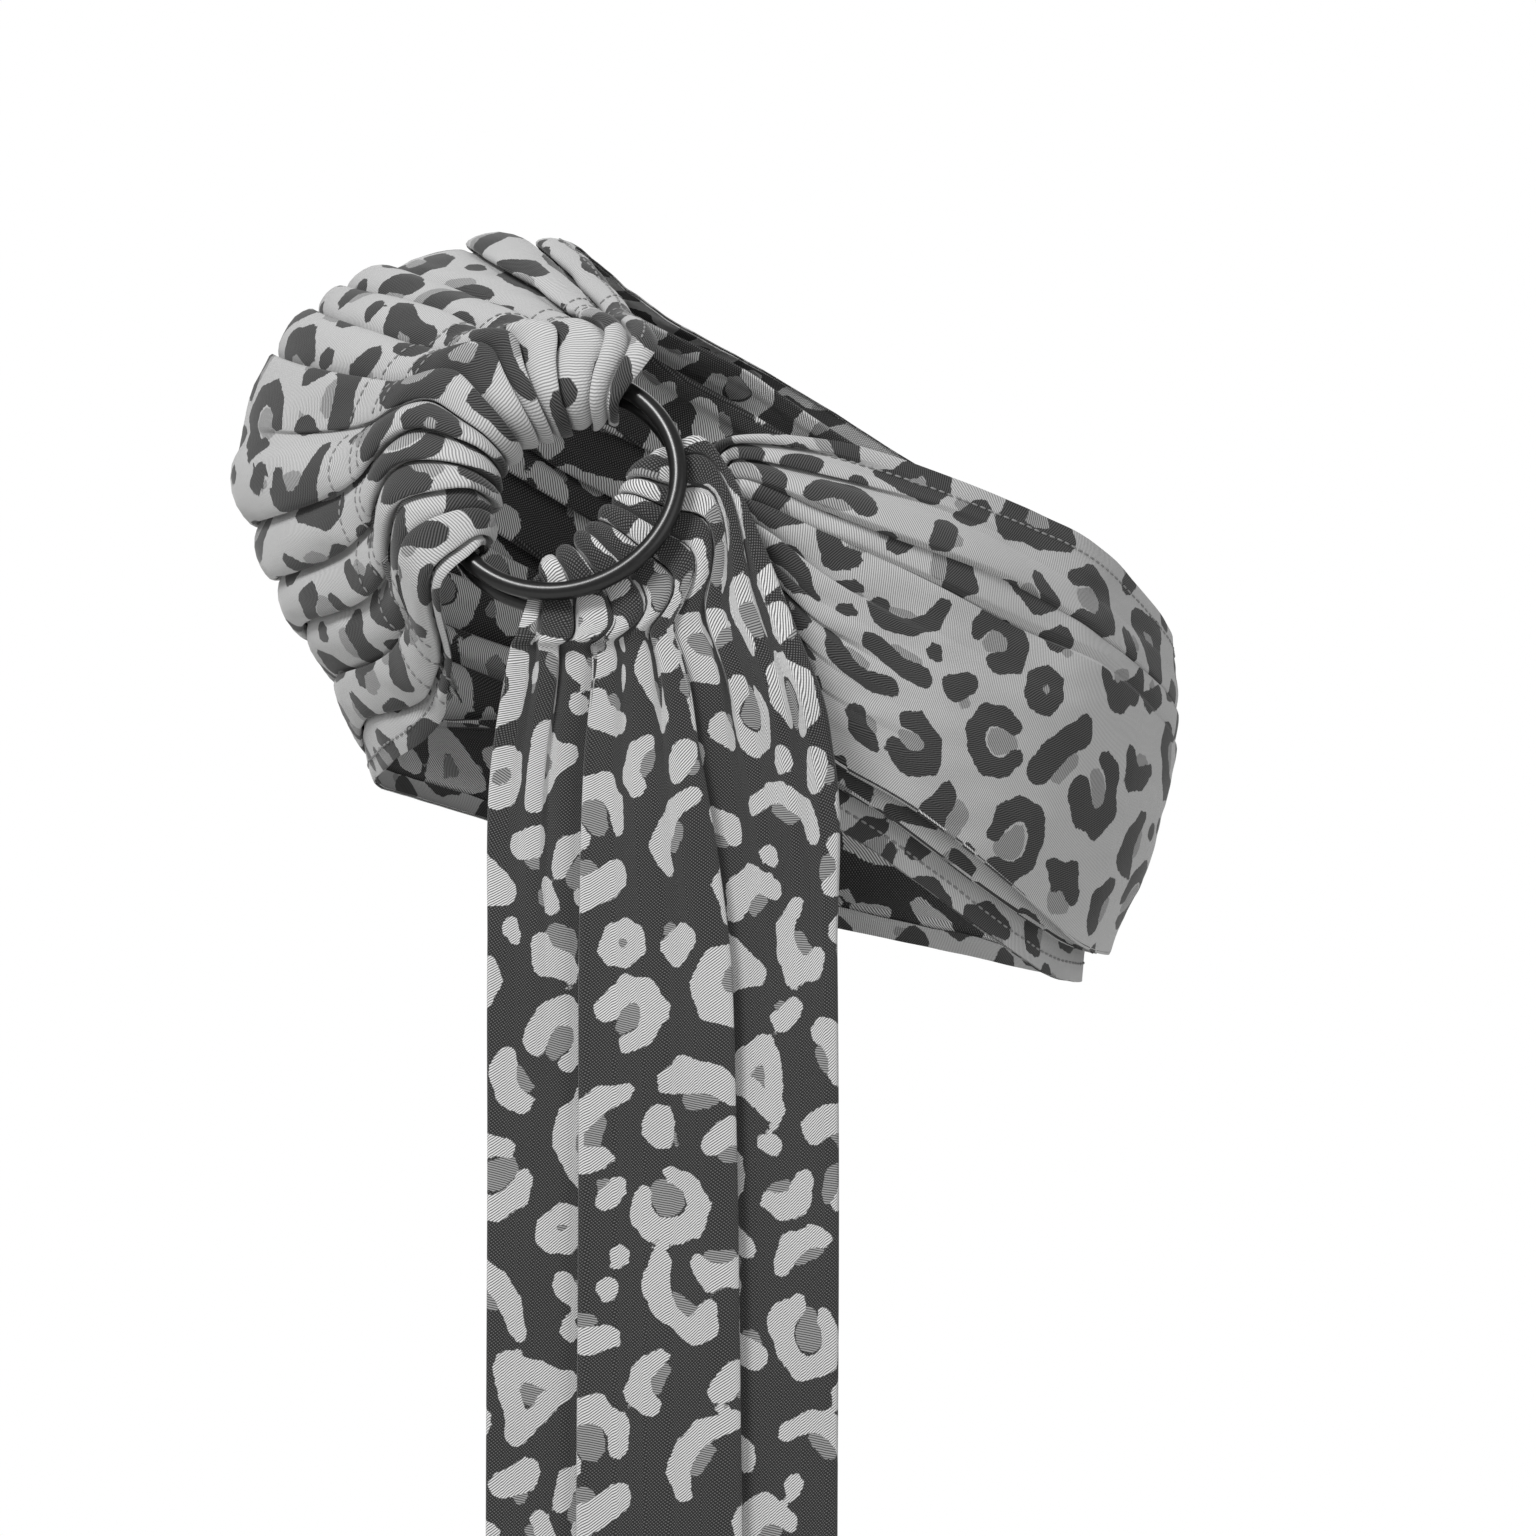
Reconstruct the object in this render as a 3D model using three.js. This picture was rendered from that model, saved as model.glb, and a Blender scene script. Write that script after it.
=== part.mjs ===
// A ring sling for carrying a baby: one long woven panel, worn over one shoulder and under the
// other arm, with two rings that grip the panel's loose end, the tail.
// Millimetres, +Z up, +X to the viewer's right, the wearer's front towards -Y.
// The origin is the point where the cloth rests on top of the shoulder.
import * as THREE from 'three';

// ---- Driving dimensions -------------------------------------------------------------------
const RING_RADIUS = 41.3;          // centre of the wire, a 76 mm ring inside
const WIRE_RADIUS = 3.15;
const RING_CENTRE = new THREE.Vector3(47.4, -125, -67.9);
const RING_FACING = new THREE.Vector3(-0.153, -0.901, 0.406).normalize();
const LOOP_SIDE = new THREE.Vector3(-0.729, 0.381, 0.57);   // ring centre to the sewn loop
const RING_GAP = 7;                // between the two ring centres at the sewn loop
const WEDGE_ANGLE = 5 * Math.PI / 180;   // the cloth holds the rings this far open
const PANEL_THICKNESS = 5;         // the pleated panel, as a plain shell
const CAP_THICKNESS = 10;          // deeper pleats over the shoulder
const INNER_THICKNESS = 5;         // the layers folded away inside the front panel
const LAYER_GAP = 0.6;             // between the panel and those layers
const HEM_THICKNESS = 3.2;
const HEM_SHARE = 0.035;           // of the panel's width
const SEAM_GAP = 0.012;            // between neighbouring panels, in stations
const TAIL_Y = -133;               // middle of the hanging tail
const TAIL_SWING_Z = -128;         // where the tail bends when it is lifted
const TAIL_TOP_Z = -150;
const TAIL_SPLIT_Z = -505;
const TAIL_END_Z = -838;
const TAIL_HEM_HEIGHT = 12;
const FOLD_THICKNESS = 3;
const FOLD_GAP = 0.5;

// ---- Materials ----------------------------------------------------------------------------
const lightCloth = new THREE.MeshStandardMaterial({ color: 0xa2a2a2, roughness: 0.9 });
const darkCloth = new THREE.MeshStandardMaterial({ color: 0x4a4a4a, roughness: 0.9 });
const thread = new THREE.MeshStandardMaterial({ color: 0x8c8c8c, roughness: 0.8 });
const ringMetal = new THREE.MeshStandardMaterial({ color: 0x161616, roughness: 0.35, metalness: 0.9 });

const sling = new THREE.Group();
sling.name = 'ring_sling';

function addPiece(name, geometry, material) {
  const piece = new THREE.Mesh(geometry, material);
  piece.name = name;
  sling.add(piece);
  return piece;
}

// ---- The two rings' frames ----------------------------------------------------------------
// A frame has a centre and three unit vectors: out faces the viewer, loop points to the sewn
// loop and side runs along the ring towards the arm side of the cloth.
function ringFrame(centre, out, loopSide) {
  const loop = loopSide.clone().addScaledVector(out, -loopSide.dot(out)).normalize();
  const side = new THREE.Vector3().crossVectors(out, loop);
  return { centre, out, loop, side };
}

function ringPoint(frame, radius, angle, depth) {
  return frame.centre.clone()
    .addScaledVector(frame.loop, radius * Math.cos(angle))
    .addScaledVector(frame.side, radius * Math.sin(angle))
    .addScaledVector(frame.out, depth);
}

function makeBackFrame(front) {
  const pivot = ringPoint(front, RING_RADIUS, 0, -RING_GAP);
  const out = front.out.clone().applyAxisAngle(front.side, -WEDGE_ANGLE);
  const loop = front.loop.clone().applyAxisAngle(front.side, -WEDGE_ANGLE);
  return ringFrame(pivot.addScaledVector(loop, -RING_RADIUS), out, loop);
}

const frontFrame = ringFrame(RING_CENTRE, RING_FACING, LOOP_SIDE);
const backFrame = makeBackFrame(frontFrame);

function addRing(name, frame) {
  const ring = addPiece(name, new THREE.TorusGeometry(RING_RADIUS, WIRE_RADIUS, 12, 64), ringMetal);
  ring.position.copy(frame.centre);
  const turn = new THREE.Matrix4().makeBasis(frame.loop, frame.side, frame.out);
  ring.quaternion.setFromRotationMatrix(turn);
}

addRing('front_ring', frontFrame);
addRing('back_ring', backFrame);

// ---- Closed meshes ------------------------------------------------------------------------
// A closed body from rounds of points. Each round is one side's line followed by the other
// side's line in reverse, and each end is closed by a strip between its two lines.
function closedBody(rounds) {
  const positions = rounds.flat().flatMap((point) => [point.x, point.y, point.z]);
  const count = rounds[0].length;
  const triangles = [];
  for (let row = 0; row + 1 < rounds.length; row += 1) {
    for (let i = 0; i < count; i += 1) {
      const a = row * count + i;
      const b = row * count + (i + 1) % count;
      triangles.push(a, b, a + count, b, b + count, a + count);
    }
  }
  [0, rounds.length - 1].forEach((row) => {
    for (let i = 0; i + 1 < count / 2; i += 1) {
      const a = row * count + i;
      const b = a + 1;
      const c = row * count + count - 1 - i;
      const d = c - 1;
      triangles.push(...(row === 0 ? [b, a, c, b, c, d] : [a, b, c, b, d, c]));
    }
  });
  return outwardGeometry(positions, triangles);
}

// Turns the faces outwards if the enclosed volume comes out negative.
function outwardGeometry(positions, triangles) {
  let volume = 0;
  const corner = (index) => new THREE.Vector3().fromArray(positions, index * 3);
  for (let i = 0; i < triangles.length; i += 3) {
    const [a, b, c] = [0, 1, 2].map((k) => corner(triangles[i + k]));
    volume += a.dot(b.cross(c));
  }
  if (volume < 0) {
    triangles.reverse();
  }
  const geometry = new THREE.BufferGeometry();
  geometry.setAttribute('position', new THREE.Float32BufferAttribute(positions, 3));
  geometry.setIndex(triangles);
  geometry.computeVertexNormals();
  return geometry;
}

// A shell along a surface: surface(u, v) gives { point, out }, and the shell runs from low to
// high along out.
function shell(surface, [uStart, uEnd], [vStart, vEnd], [low, high], across, along) {
  const rounds = [];
  for (let j = 0; j <= along; j += 1) {
    const v = THREE.MathUtils.lerp(vStart, vEnd, j / along);
    const spots = [];
    for (let i = 0; i <= across; i += 1) {
      spots.push(surface(THREE.MathUtils.lerp(uStart, uEnd, i / across), v));
    }
    const lower = spots.map(({ point, out }) => point.clone().addScaledVector(out, low));
    const upper = spots.map(({ point, out }) => point.clone().addScaledVector(out, high));
    rounds.push([...lower, ...upper.reverse()]);
  }
  return closedBody(rounds);
}

// ---- The worn loop's surface --------------------------------------------------------------
// Stations along the cloth, from the sewn end at the rings, over the shoulder, down the back,
// under the other arm, across the front and back to the rings. Each runs across the cloth,
// from the neck edge to the arm edge.
const LOOP_ARC = 1.5;              // half of the ring that the sewn loop covers, in radians
const WRAP_ARC = 1.12;             // half of the ring that the threaded cloth covers
const STATION_POINTS = 6;

function arcStation(frame, middle, halfArc, radius, depth) {
  return Array.from({ length: STATION_POINTS }, (_, i) => {
    const angle = middle + THREE.MathUtils.lerp(-halfArc, halfArc, i / (STATION_POINTS - 1));
    return ringPoint(frame, radius, angle, depth);
  });
}

function station(...points) {
  return points.map(([x, y, z]) => new THREE.Vector3(x, y, z));
}

const stations = [
  arcStation(frontFrame, 0, LOOP_ARC, RING_RADIUS + 12, 6.5),
  station(
    [71, -64, -7], [41, -90, -12], [0, -92, -26],
    [-22, -92, -55], [-16, -98, -93], [8, -98, -136],
  ),
  station(
    [49, 0, 21], [18, -4, 24], [-40, -6, 3],
    [-71, -10, -44], [-58, -20, -97], [-16, -45, -165],
  ),
  station(
    [60, 38, 17], [18, 40, 14], [-28, 36, -12],
    [-50, 32, -55], [-42, 25, -110], [-24, 10, -172],
  ),
  station([82, 66, 2], [50, 78, -12], [20, 82, -42], [2, 80, -85], [-2, 72, -135], [2, 58, -182]),
  station(
    [118, 82, -18], [100, 97, -42], [80, 104, -75],
    [66, 106, -115], [58, 100, -158], [56, 88, -200],
  ),
  station(
    [168, 84, -48], [160, 98, -75], [150, 106, -105],
    [140, 107, -140], [132, 103, -180], [125, 95, -222],
  ),
  station(
    [222, 62, -85], [222, 72, -108], [218, 77, -133],
    [211, 77, -165], [203, 74, -200], [194, 70, -236],
  ),
  station(
    [266, 5, -119], [267, 5, -141], [265, 5, -170],
    [258, 5, -196], [247, 5, -225], [236, 5, -245],
  ),
  station(
    [239, -52, -90], [242, -58, -121], [241, -62, -149],
    [236, -62, -177], [229, -60, -209], [219, -55, -239],
  ),
  station(
    [188, -92, -66], [186, -100, -95], [182, -104, -123],
    [177, -106, -151], [170, -104, -182], [161, -100, -199],
  ),
  station(
    [142, -108, -52], [142, -114, -77], [140, -117, -101],
    [137, -118, -125], [132, -117, -149], [127, -114, -172],
  ),
  station(
    [108, -112, -51], [110, -116, -65], [110, -118, -79],
    [108, -118, -94], [102, -117, -110], [94, -116, -125],
  ),
  arcStation(backFrame, Math.PI, -WRAP_ARC, RING_RADIUS + 12, -8),
];

const AT_RINGS = 0;
const CREST = 2;
const UPPER_BACK = 4;
const LOW_BACK = 7;
const UNDER_ARM = 8.6;
const FRONT_NARROWS = 11.4;
const BEHIND_RINGS = 13;

function spline(values, t) {
  const last = values.length - 1;
  const start = Math.min(Math.floor(t), last - 1);
  const blend = t - start;
  const at = (i) => {
    if (i < 0) {
      return values[0].clone().multiplyScalar(2).sub(values[1]);
    }
    if (i > last) {
      return values[last].clone().multiplyScalar(2).sub(values[last - 1]);
    }
    return values[i];
  };
  const [a, b, c, d] = [at(start - 1), at(start), at(start + 1), at(start + 2)];
  const bend = a.clone().multiplyScalar(-1).addScaledVector(b, 3).addScaledVector(c, -3).add(d);
  const curve = a.clone().multiplyScalar(2).addScaledVector(b, -5).addScaledVector(c, 4).sub(d);
  return b.clone()
    .addScaledVector(c.clone().sub(a), 0.5 * blend)
    .addScaledVector(curve, 0.5 * blend ** 2)
    .addScaledVector(bend, 0.5 * blend ** 3);
}

function surfacePoint(rows, u, v) {
  return spline(rows.map((row) => spline(row, u * (row.length - 1))), v);
}

function splineSurface(rows) {
  const step = 0.01;
  return (u, v) => {
    const point = surfacePoint(rows, u, v);
    const [u0, u1] = [Math.max(u - step, 0), Math.min(u + step, 1)];
    const [v0, v1] = [Math.max(v - step, 0), Math.min(v + step, rows.length - 1)];
    const across = surfacePoint(rows, u1, v).sub(surfacePoint(rows, u0, v));
    const along = surfacePoint(rows, u, v1).sub(surfacePoint(rows, u, v0));
    return { point, out: along.cross(across).normalize() };
  };
}

const loopSurface = splineSurface(stations);
const MAIN_SPAN = [HEM_SHARE + 0.003, 1 - HEM_SHARE - 0.003];
const NECK_HEM_SPAN = [0, HEM_SHARE];
const ARM_HEM_SPAN = [1 - HEM_SHARE, 1];

function addLoopPanel(name, span, [start, end], depths, across, along) {
  const reach = [start + SEAM_GAP, end - SEAM_GAP];
  addPiece(name, shell(loopSurface, span, reach, depths, across, along), lightCloth);
}

function halves(thickness) {
  return [-thickness / 2, thickness / 2];
}

function addPanelWithHems(name, place, reach, thickness, across, along) {
  addLoopPanel(name, MAIN_SPAN, reach, halves(thickness), across, along);
  addLoopPanel(`${place}_neck_hem`, NECK_HEM_SPAN, reach, halves(HEM_THICKNESS), 1, along);
  addLoopPanel(`${place}_arm_hem`, ARM_HEM_SPAN, reach, halves(HEM_THICKNESS), 1, along);
}

addPanelWithHems('shoulder_cap', 'shoulder', [AT_RINGS, CREST], CAP_THICKNESS, 12, 8);
addPanelWithHems('shoulder_blade_panel', 'shoulder_blade', [CREST, UPPER_BACK], CAP_THICKNESS, 10, 6);
addPanelWithHems('back_panel', 'back', [UPPER_BACK, LOW_BACK], PANEL_THICKNESS, 8, 9);
addPanelWithHems('side_panel', 'side', [LOW_BACK, UNDER_ARM], PANEL_THICKNESS, 8, 7);
addPanelWithHems('front_panel', 'front', [UNDER_ARM, FRONT_NARROWS], PANEL_THICKNESS, 8, 9);
addLoopPanel('front_gather', [0, 1], [FRONT_NARROWS, BEHIND_RINGS], halves(PANEL_THICKNESS), 10, 6);

// The layers folded away inside the panel, below the lifted lower edge of the outer layer.
const INNER_SPAN = [0.3, 0.96];
const INNER_HIGH = -PANEL_THICKNESS / 2 - LAYER_GAP;
const INNER_DEPTHS = [INNER_HIGH - INNER_THICKNESS, INNER_HIGH];
addLoopPanel('side_inner_fold', INNER_SPAN, [LOW_BACK, UNDER_ARM], INNER_DEPTHS, 6, 7);
addLoopPanel('front_inner_fold', INNER_SPAN, [UNDER_ARM, FRONT_NARROWS], INNER_DEPTHS, 6, 9);

// ---- The sewn shoulder end ----------------------------------------------------------------
// A channel around a ring: its section is given as (radius, depth) pairs from the wire's
// centre, swept along an arc. The first half of the pairs is its inner face.
function channel(frame, middle, halfArc, section, steps) {
  const rounds = [];
  for (let j = 0; j <= steps; j += 1) {
    const angle = middle + THREE.MathUtils.lerp(-halfArc, halfArc, j / steps);
    rounds.push(section.map(([radius, depth]) => ringPoint(frame, RING_RADIUS + radius, angle, depth)));
  }
  return closedBody(rounds);
}

const SLOT = WIRE_RADIUS + 0.8;    // half of the room that each wire has in its channel
const LOOP_FRONT = 9.5;            // the sewn loop's faces, from the front ring's plane
const LOOP_BACK = -19;
const LOOP_WALL = 3.8;
const ringLoopSection = [
  [6, SLOT], [-SLOT, SLOT], [-SLOT, LOOP_BACK + LOOP_WALL], [4, LOOP_BACK + LOOP_WALL],
  [4, LOOP_BACK], [-10, LOOP_BACK], [-11, LOOP_FRONT], [6, LOOP_FRONT],
];
addPiece('ring_loop', channel(frontFrame, 0, LOOP_ARC, ringLoopSection, 22), lightCloth);

// The cloth comes out of the loop behind the rings and lies under the cap, up to the stitching.
function stationUnderCap(v, depth) {
  return Array.from({ length: STATION_POINTS }, (_, i) => {
    const { point, out } = loopSurface(THREE.MathUtils.lerp(0.16, 0.84, i / (STATION_POINTS - 1)), v);
    return point.clone().addScaledVector(out, -depth);
  });
}

const flapSurface = splineSurface([
  arcStation(frontFrame, 0, 0.6 * LOOP_ARC, RING_RADIUS + 11, LOOP_BACK + 1),
  stationUnderCap(0.55, 12),
  stationUnderCap(0.95, 10),
  stationUnderCap(1.35, 9),
]);
const FLAP_THICKNESS = 3.6;
const flap = shell(flapSurface, [0, 1], [0, 3], halves(FLAP_THICKNESS), 12, 9);
addPiece('shoulder_end_flap', flap, darkCloth);

const STITCH_ROWS = [0.82, 0.98, 1.14];
const STITCH_WIDTH = 0.03;         // in stations, about 2 mm
const STITCH_SPAN = [0.06, 0.94];
const STITCH_LOW = CAP_THICKNESS / 2 + 0.9;
const STITCH_DEPTHS = [STITCH_LOW, STITCH_LOW + 1];
STITCH_ROWS.forEach((v, row) => {
  const stitches = shell(loopSurface, STITCH_SPAN, [v, v + STITCH_WIDTH], STITCH_DEPTHS, 14, 1);
  addPiece(`loop_stitch_row_${row + 1}`, stitches, thread);
});

// ---- The cloth through the rings ----------------------------------------------------------
const wrapSection = [
  [6, -SLOT], [-SLOT, -SLOT], [-SLOT, SLOT], [6, SLOT],
  [6, 8.4], [-11, 8.4], [-11, -9.5], [6, -9.5],
];
addPiece('tail_wrap', channel(backFrame, Math.PI, -WRAP_ARC, wrapSection, 16), darkCloth);

// ---- The tail -----------------------------------------------------------------------------
function levelStation(z, left, right, y) {
  return Array.from({ length: STATION_POINTS }, (_, i) => (
    new THREE.Vector3(THREE.MathUtils.lerp(right, left, i / (STATION_POINTS - 1)), y, z)
  ));
}

const neckSurface = splineSurface([
  arcStation(backFrame, Math.PI, -WRAP_ARC, RING_RADIUS + 9.5, 6.2),
  levelStation(TAIL_SWING_Z, 30, 129, TAIL_Y),
  levelStation(TAIL_TOP_Z + 1.5, 26, 136, TAIL_Y),
]);
const NECK_THICKNESS = 4.4;
const neck = shell(neckSurface, [0, 1], [0, 2], halves(NECK_THICKNESS), 12, 8);
addPiece('tail_neck', neck, darkCloth);

// Each fold's edges at the tail's top, a little below the rings, and at its end.
const TAIL_FULL_Z = -230;
const FOLD_LEVELS = [TAIL_TOP_Z, TAIL_FULL_Z, TAIL_END_Z];
const FOLDS = [
  { name: 'back_fold', layer: 1, left: [27, 26, 26], right: [134, 139, 140] },
  { name: 'left_fold', layer: 0, left: [24.5, 23, 22], right: [66, 64, 62] },
  { name: 'right_fold', layer: 0, left: [86, 98, 108], right: [138, 143, 143] },
  { name: 'center_fold', layer: -1, left: [54, 53, 51], right: [97, 108, 122] },
];

function valueAtLevel(values, z) {
  const lower = z < FOLD_LEVELS[1] ? 1 : 0;
  const share = (FOLD_LEVELS[lower] - z) / (FOLD_LEVELS[lower] - FOLD_LEVELS[lower + 1]);
  return THREE.MathUtils.lerp(values[lower], values[lower + 1], share);
}

function foldSlab(fold, levels) {
  const middle = TAIL_Y + fold.layer * (FOLD_THICKNESS + FOLD_GAP);
  const rounds = levels.map((z) => {
    const left = valueAtLevel(fold.left, z);
    const right = valueAtLevel(fold.right, z);
    const front = middle - FOLD_THICKNESS / 2;
    const back = middle + FOLD_THICKNESS / 2;
    return [[left, front], [right, front], [right, back], [left, back]]
      .map(([x, y]) => new THREE.Vector3(x, y, z));
  });
  return closedBody(rounds);
}

const HEM_TOP_Z = TAIL_END_Z + TAIL_HEM_HEIGHT;
FOLDS.forEach((fold) => {
  addPiece(`tail_upper_${fold.name}`, foldSlab(fold, [TAIL_TOP_Z, TAIL_FULL_Z, TAIL_SPLIT_Z]), darkCloth);
  addPiece(`tail_lower_${fold.name}`, foldSlab(fold, [TAIL_SPLIT_Z - 1, HEM_TOP_Z + FOLD_GAP]), darkCloth);
  addPiece(`tail_end_hem_${fold.name}`, foldSlab(fold, [HEM_TOP_Z, TAIL_END_Z]), darkCloth);
});

export default sling;
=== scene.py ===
"""Looks of the ring sling: pleated jacquard cloth, hems, stitching and two black rings.

Lengths in this script are millimetres in the row's frame, turned into metres when a mesh is made.
A stretch of cloth is a base surface, given by rows of points across it, plus a folded section on each
row: tucks that go in from the surface, with rounded pleats between them.
"""
import math

import bpy
import numpy as np
from mathutils import Matrix, Vector


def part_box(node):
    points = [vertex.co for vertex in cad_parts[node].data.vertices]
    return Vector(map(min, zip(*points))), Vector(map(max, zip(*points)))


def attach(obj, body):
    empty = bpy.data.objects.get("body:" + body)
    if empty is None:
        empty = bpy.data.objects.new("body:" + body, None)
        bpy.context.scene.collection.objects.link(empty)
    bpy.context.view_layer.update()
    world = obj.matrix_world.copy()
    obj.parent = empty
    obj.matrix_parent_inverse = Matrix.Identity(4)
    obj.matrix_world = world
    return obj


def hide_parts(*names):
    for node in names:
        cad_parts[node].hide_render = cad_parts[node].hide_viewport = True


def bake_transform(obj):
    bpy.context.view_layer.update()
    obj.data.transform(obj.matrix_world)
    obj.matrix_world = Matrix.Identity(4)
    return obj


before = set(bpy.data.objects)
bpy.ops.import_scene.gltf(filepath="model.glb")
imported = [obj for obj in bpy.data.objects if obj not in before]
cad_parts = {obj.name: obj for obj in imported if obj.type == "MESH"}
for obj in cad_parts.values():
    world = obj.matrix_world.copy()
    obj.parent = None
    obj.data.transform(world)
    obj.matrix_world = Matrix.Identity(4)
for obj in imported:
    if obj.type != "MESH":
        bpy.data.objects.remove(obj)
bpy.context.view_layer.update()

METRE = 0.001                      # one millimetre in metres

# ---- Driving dimensions, as in the CAD ----
RING_RADIUS = 41.3
WIRE_RADIUS = 3.15
RING_FACING = np.array([-0.153, -0.901, 0.406])
LOOP_SIDE = np.array([-0.729, 0.381, 0.57])
RING_GAP = 7.0
WEDGE_ANGLE = math.radians(5)
LOOP_ARC = 1.5
WRAP_ARC = 1.12
TAIL_Y = -133.0
TAIL_END_Z = -838.0
CLOTH_THICKNESS = 0.8
TAIL_SPLIT_Z = -470.0
PLEATED_WIDTH = 500.0              # cloth across each row that the flat coordinates allow for
TAIL_HEM_HEIGHT = 12
HEM_WIDTH = 8.0


# ---- Camera, floor and light ----
CAMERA_DISTANCE = 2.4
CAMERA_X = 0.119
CAMERA_Z = -0.166
SENSOR_MM = 36.0
PICTURE_WIDTH = 0.5576             # at the shoulder's distance
WORLD_LIGHT = 0.47
FLOOR_HALF = 1.6
FLOOR_DROP = 0.03                  # below the tail's end


def new_object(name, data):
    obj = bpy.data.objects.new(name, data)
    bpy.context.scene.collection.objects.link(obj)
    return obj


def add_camera():
    data = bpy.data.cameras.new("camera")
    data.sensor_width = SENSOR_MM
    data.lens = SENSOR_MM * CAMERA_DISTANCE / PICTURE_WIDTH
    data.clip_end = 50
    camera = new_object("camera", data)
    camera.location = (CAMERA_X, -CAMERA_DISTANCE, CAMERA_Z)
    camera.rotation_euler = (math.pi / 2, 0, 0)
    bpy.context.scene.camera = camera


def add_area_light(name, location, size, power, target=(0.1, 0, -0.25)):
    data = bpy.data.lights.new(name, "AREA")
    data.shape = "RECTANGLE"
    data.size, data.size_y = size
    data.energy = power
    light = new_object(name, data)
    light.location = location
    direction = Vector(target) - light.location
    light.rotation_euler = direction.to_track_quat("-Z", "Y").to_euler()


def add_studio():
    world = bpy.data.worlds.new("studio")
    world.use_nodes = True
    nodes, links = world.node_tree.nodes, world.node_tree.links
    background = nodes["Background"]
    background.inputs["Color"].default_value = (1, 1, 1, 1)
    seen = nodes.new("ShaderNodeLightPath").outputs["Is Camera Ray"]
    level = nodes.new("ShaderNodeMapRange")
    level.inputs["To Min"].default_value = WORLD_LIGHT
    links.new(seen, level.inputs["Value"])
    links.new(level.outputs[0], background.inputs["Strength"])
    bpy.context.scene.world = world
    bpy.context.scene.view_settings.view_transform = "Standard"
    add_area_light("key_light", (-1.0, -1.6, 1.7), (0.7, 0.7), 64)
    add_area_light("fill_light", (1.7, -1.5, 0.4), (1.4, 1.8), 9)
    add_area_light("back_light", (0.4, 1.9, 1.2), (1.6, 1.0), 8)
    mesh = bpy.data.meshes.new("floor")
    height = TAIL_END_Z * METRE - FLOOR_DROP
    corners = [(x * FLOOR_HALF, y * FLOOR_HALF, height) for x, y in ((-1, -1), (1, -1), (1, 1), (-1, 1))]
    mesh.from_pydata(corners, [], [(0, 1, 2, 3)])
    material, _, surface = new_material("floor_paper")
    surface["Base Color"].default_value = (0.82, 0.82, 0.81, 1)
    surface["Roughness"].default_value = 0.9
    mesh.materials.append(material)
    new_object("floor", mesh)


# ---- Node building ----
class Graph:
    """Short ways to add shader nodes to one tree."""

    def __init__(self, tree):
        self.tree = tree

    def node(self, kind, **settings):
        node = self.tree.nodes.new(kind)
        for key, value in settings.items():
            setattr(node, key, value)
        return node

    def feed(self, socket, value):
        if isinstance(value, bpy.types.NodeSocket):
            self.tree.links.new(value, socket)
        else:
            socket.default_value = value

    def fed(self, kind, output, values, **settings):
        node = self.node(kind, **settings)
        for socket, value in zip(node.inputs, values):
            self.feed(socket, value)
        return node.outputs[output]

    def math(self, operation, *values):
        return self.fed("ShaderNodeMath", 0, values, operation=operation)

    def vector(self, operation, *values, output=0):
        return self.fed("ShaderNodeVectorMath", output, values, operation=operation)

    def step(self, value, low, high):
        """0 below low, 1 above high, smooth between; low may be above high."""
        values = (value, low, high, 0.0, 1.0)
        return self.fed("ShaderNodeMapRange", 0, values, interpolation_type="SMOOTHSTEP", clamp=True)

    def mix(self, factor, first, second):
        node = self.node("ShaderNodeMix", data_type="RGBA")
        self.feed(node.inputs[0], factor)
        self.feed(node.inputs[6], first)
        self.feed(node.inputs[7], second)
        return node.outputs[2]

    def noise(self, vector, scale, detail):
        node = self.node("ShaderNodeTexNoise", noise_dimensions="3D")
        self.feed(node.inputs["Vector"], vector)
        node.inputs["Scale"].default_value = scale
        node.inputs["Detail"].default_value = detail
        return node.outputs[0]

    def bump(self, strength, distance, height):
        node = self.node("ShaderNodeBump")
        node.inputs["Strength"].default_value = strength
        node.inputs["Distance"].default_value = distance
        self.feed(node.inputs["Height"], height)
        return node.outputs[0]


def new_material(name):
    """A material with its graph and the inputs of its shader."""
    material = bpy.data.materials.new(name)
    material.use_nodes = True
    return material, Graph(material.node_tree), material.node_tree.nodes["Principled BSDF"].inputs


def grey(level):
    return (level, level, level, 1.0)


add_camera()
add_studio()


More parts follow.
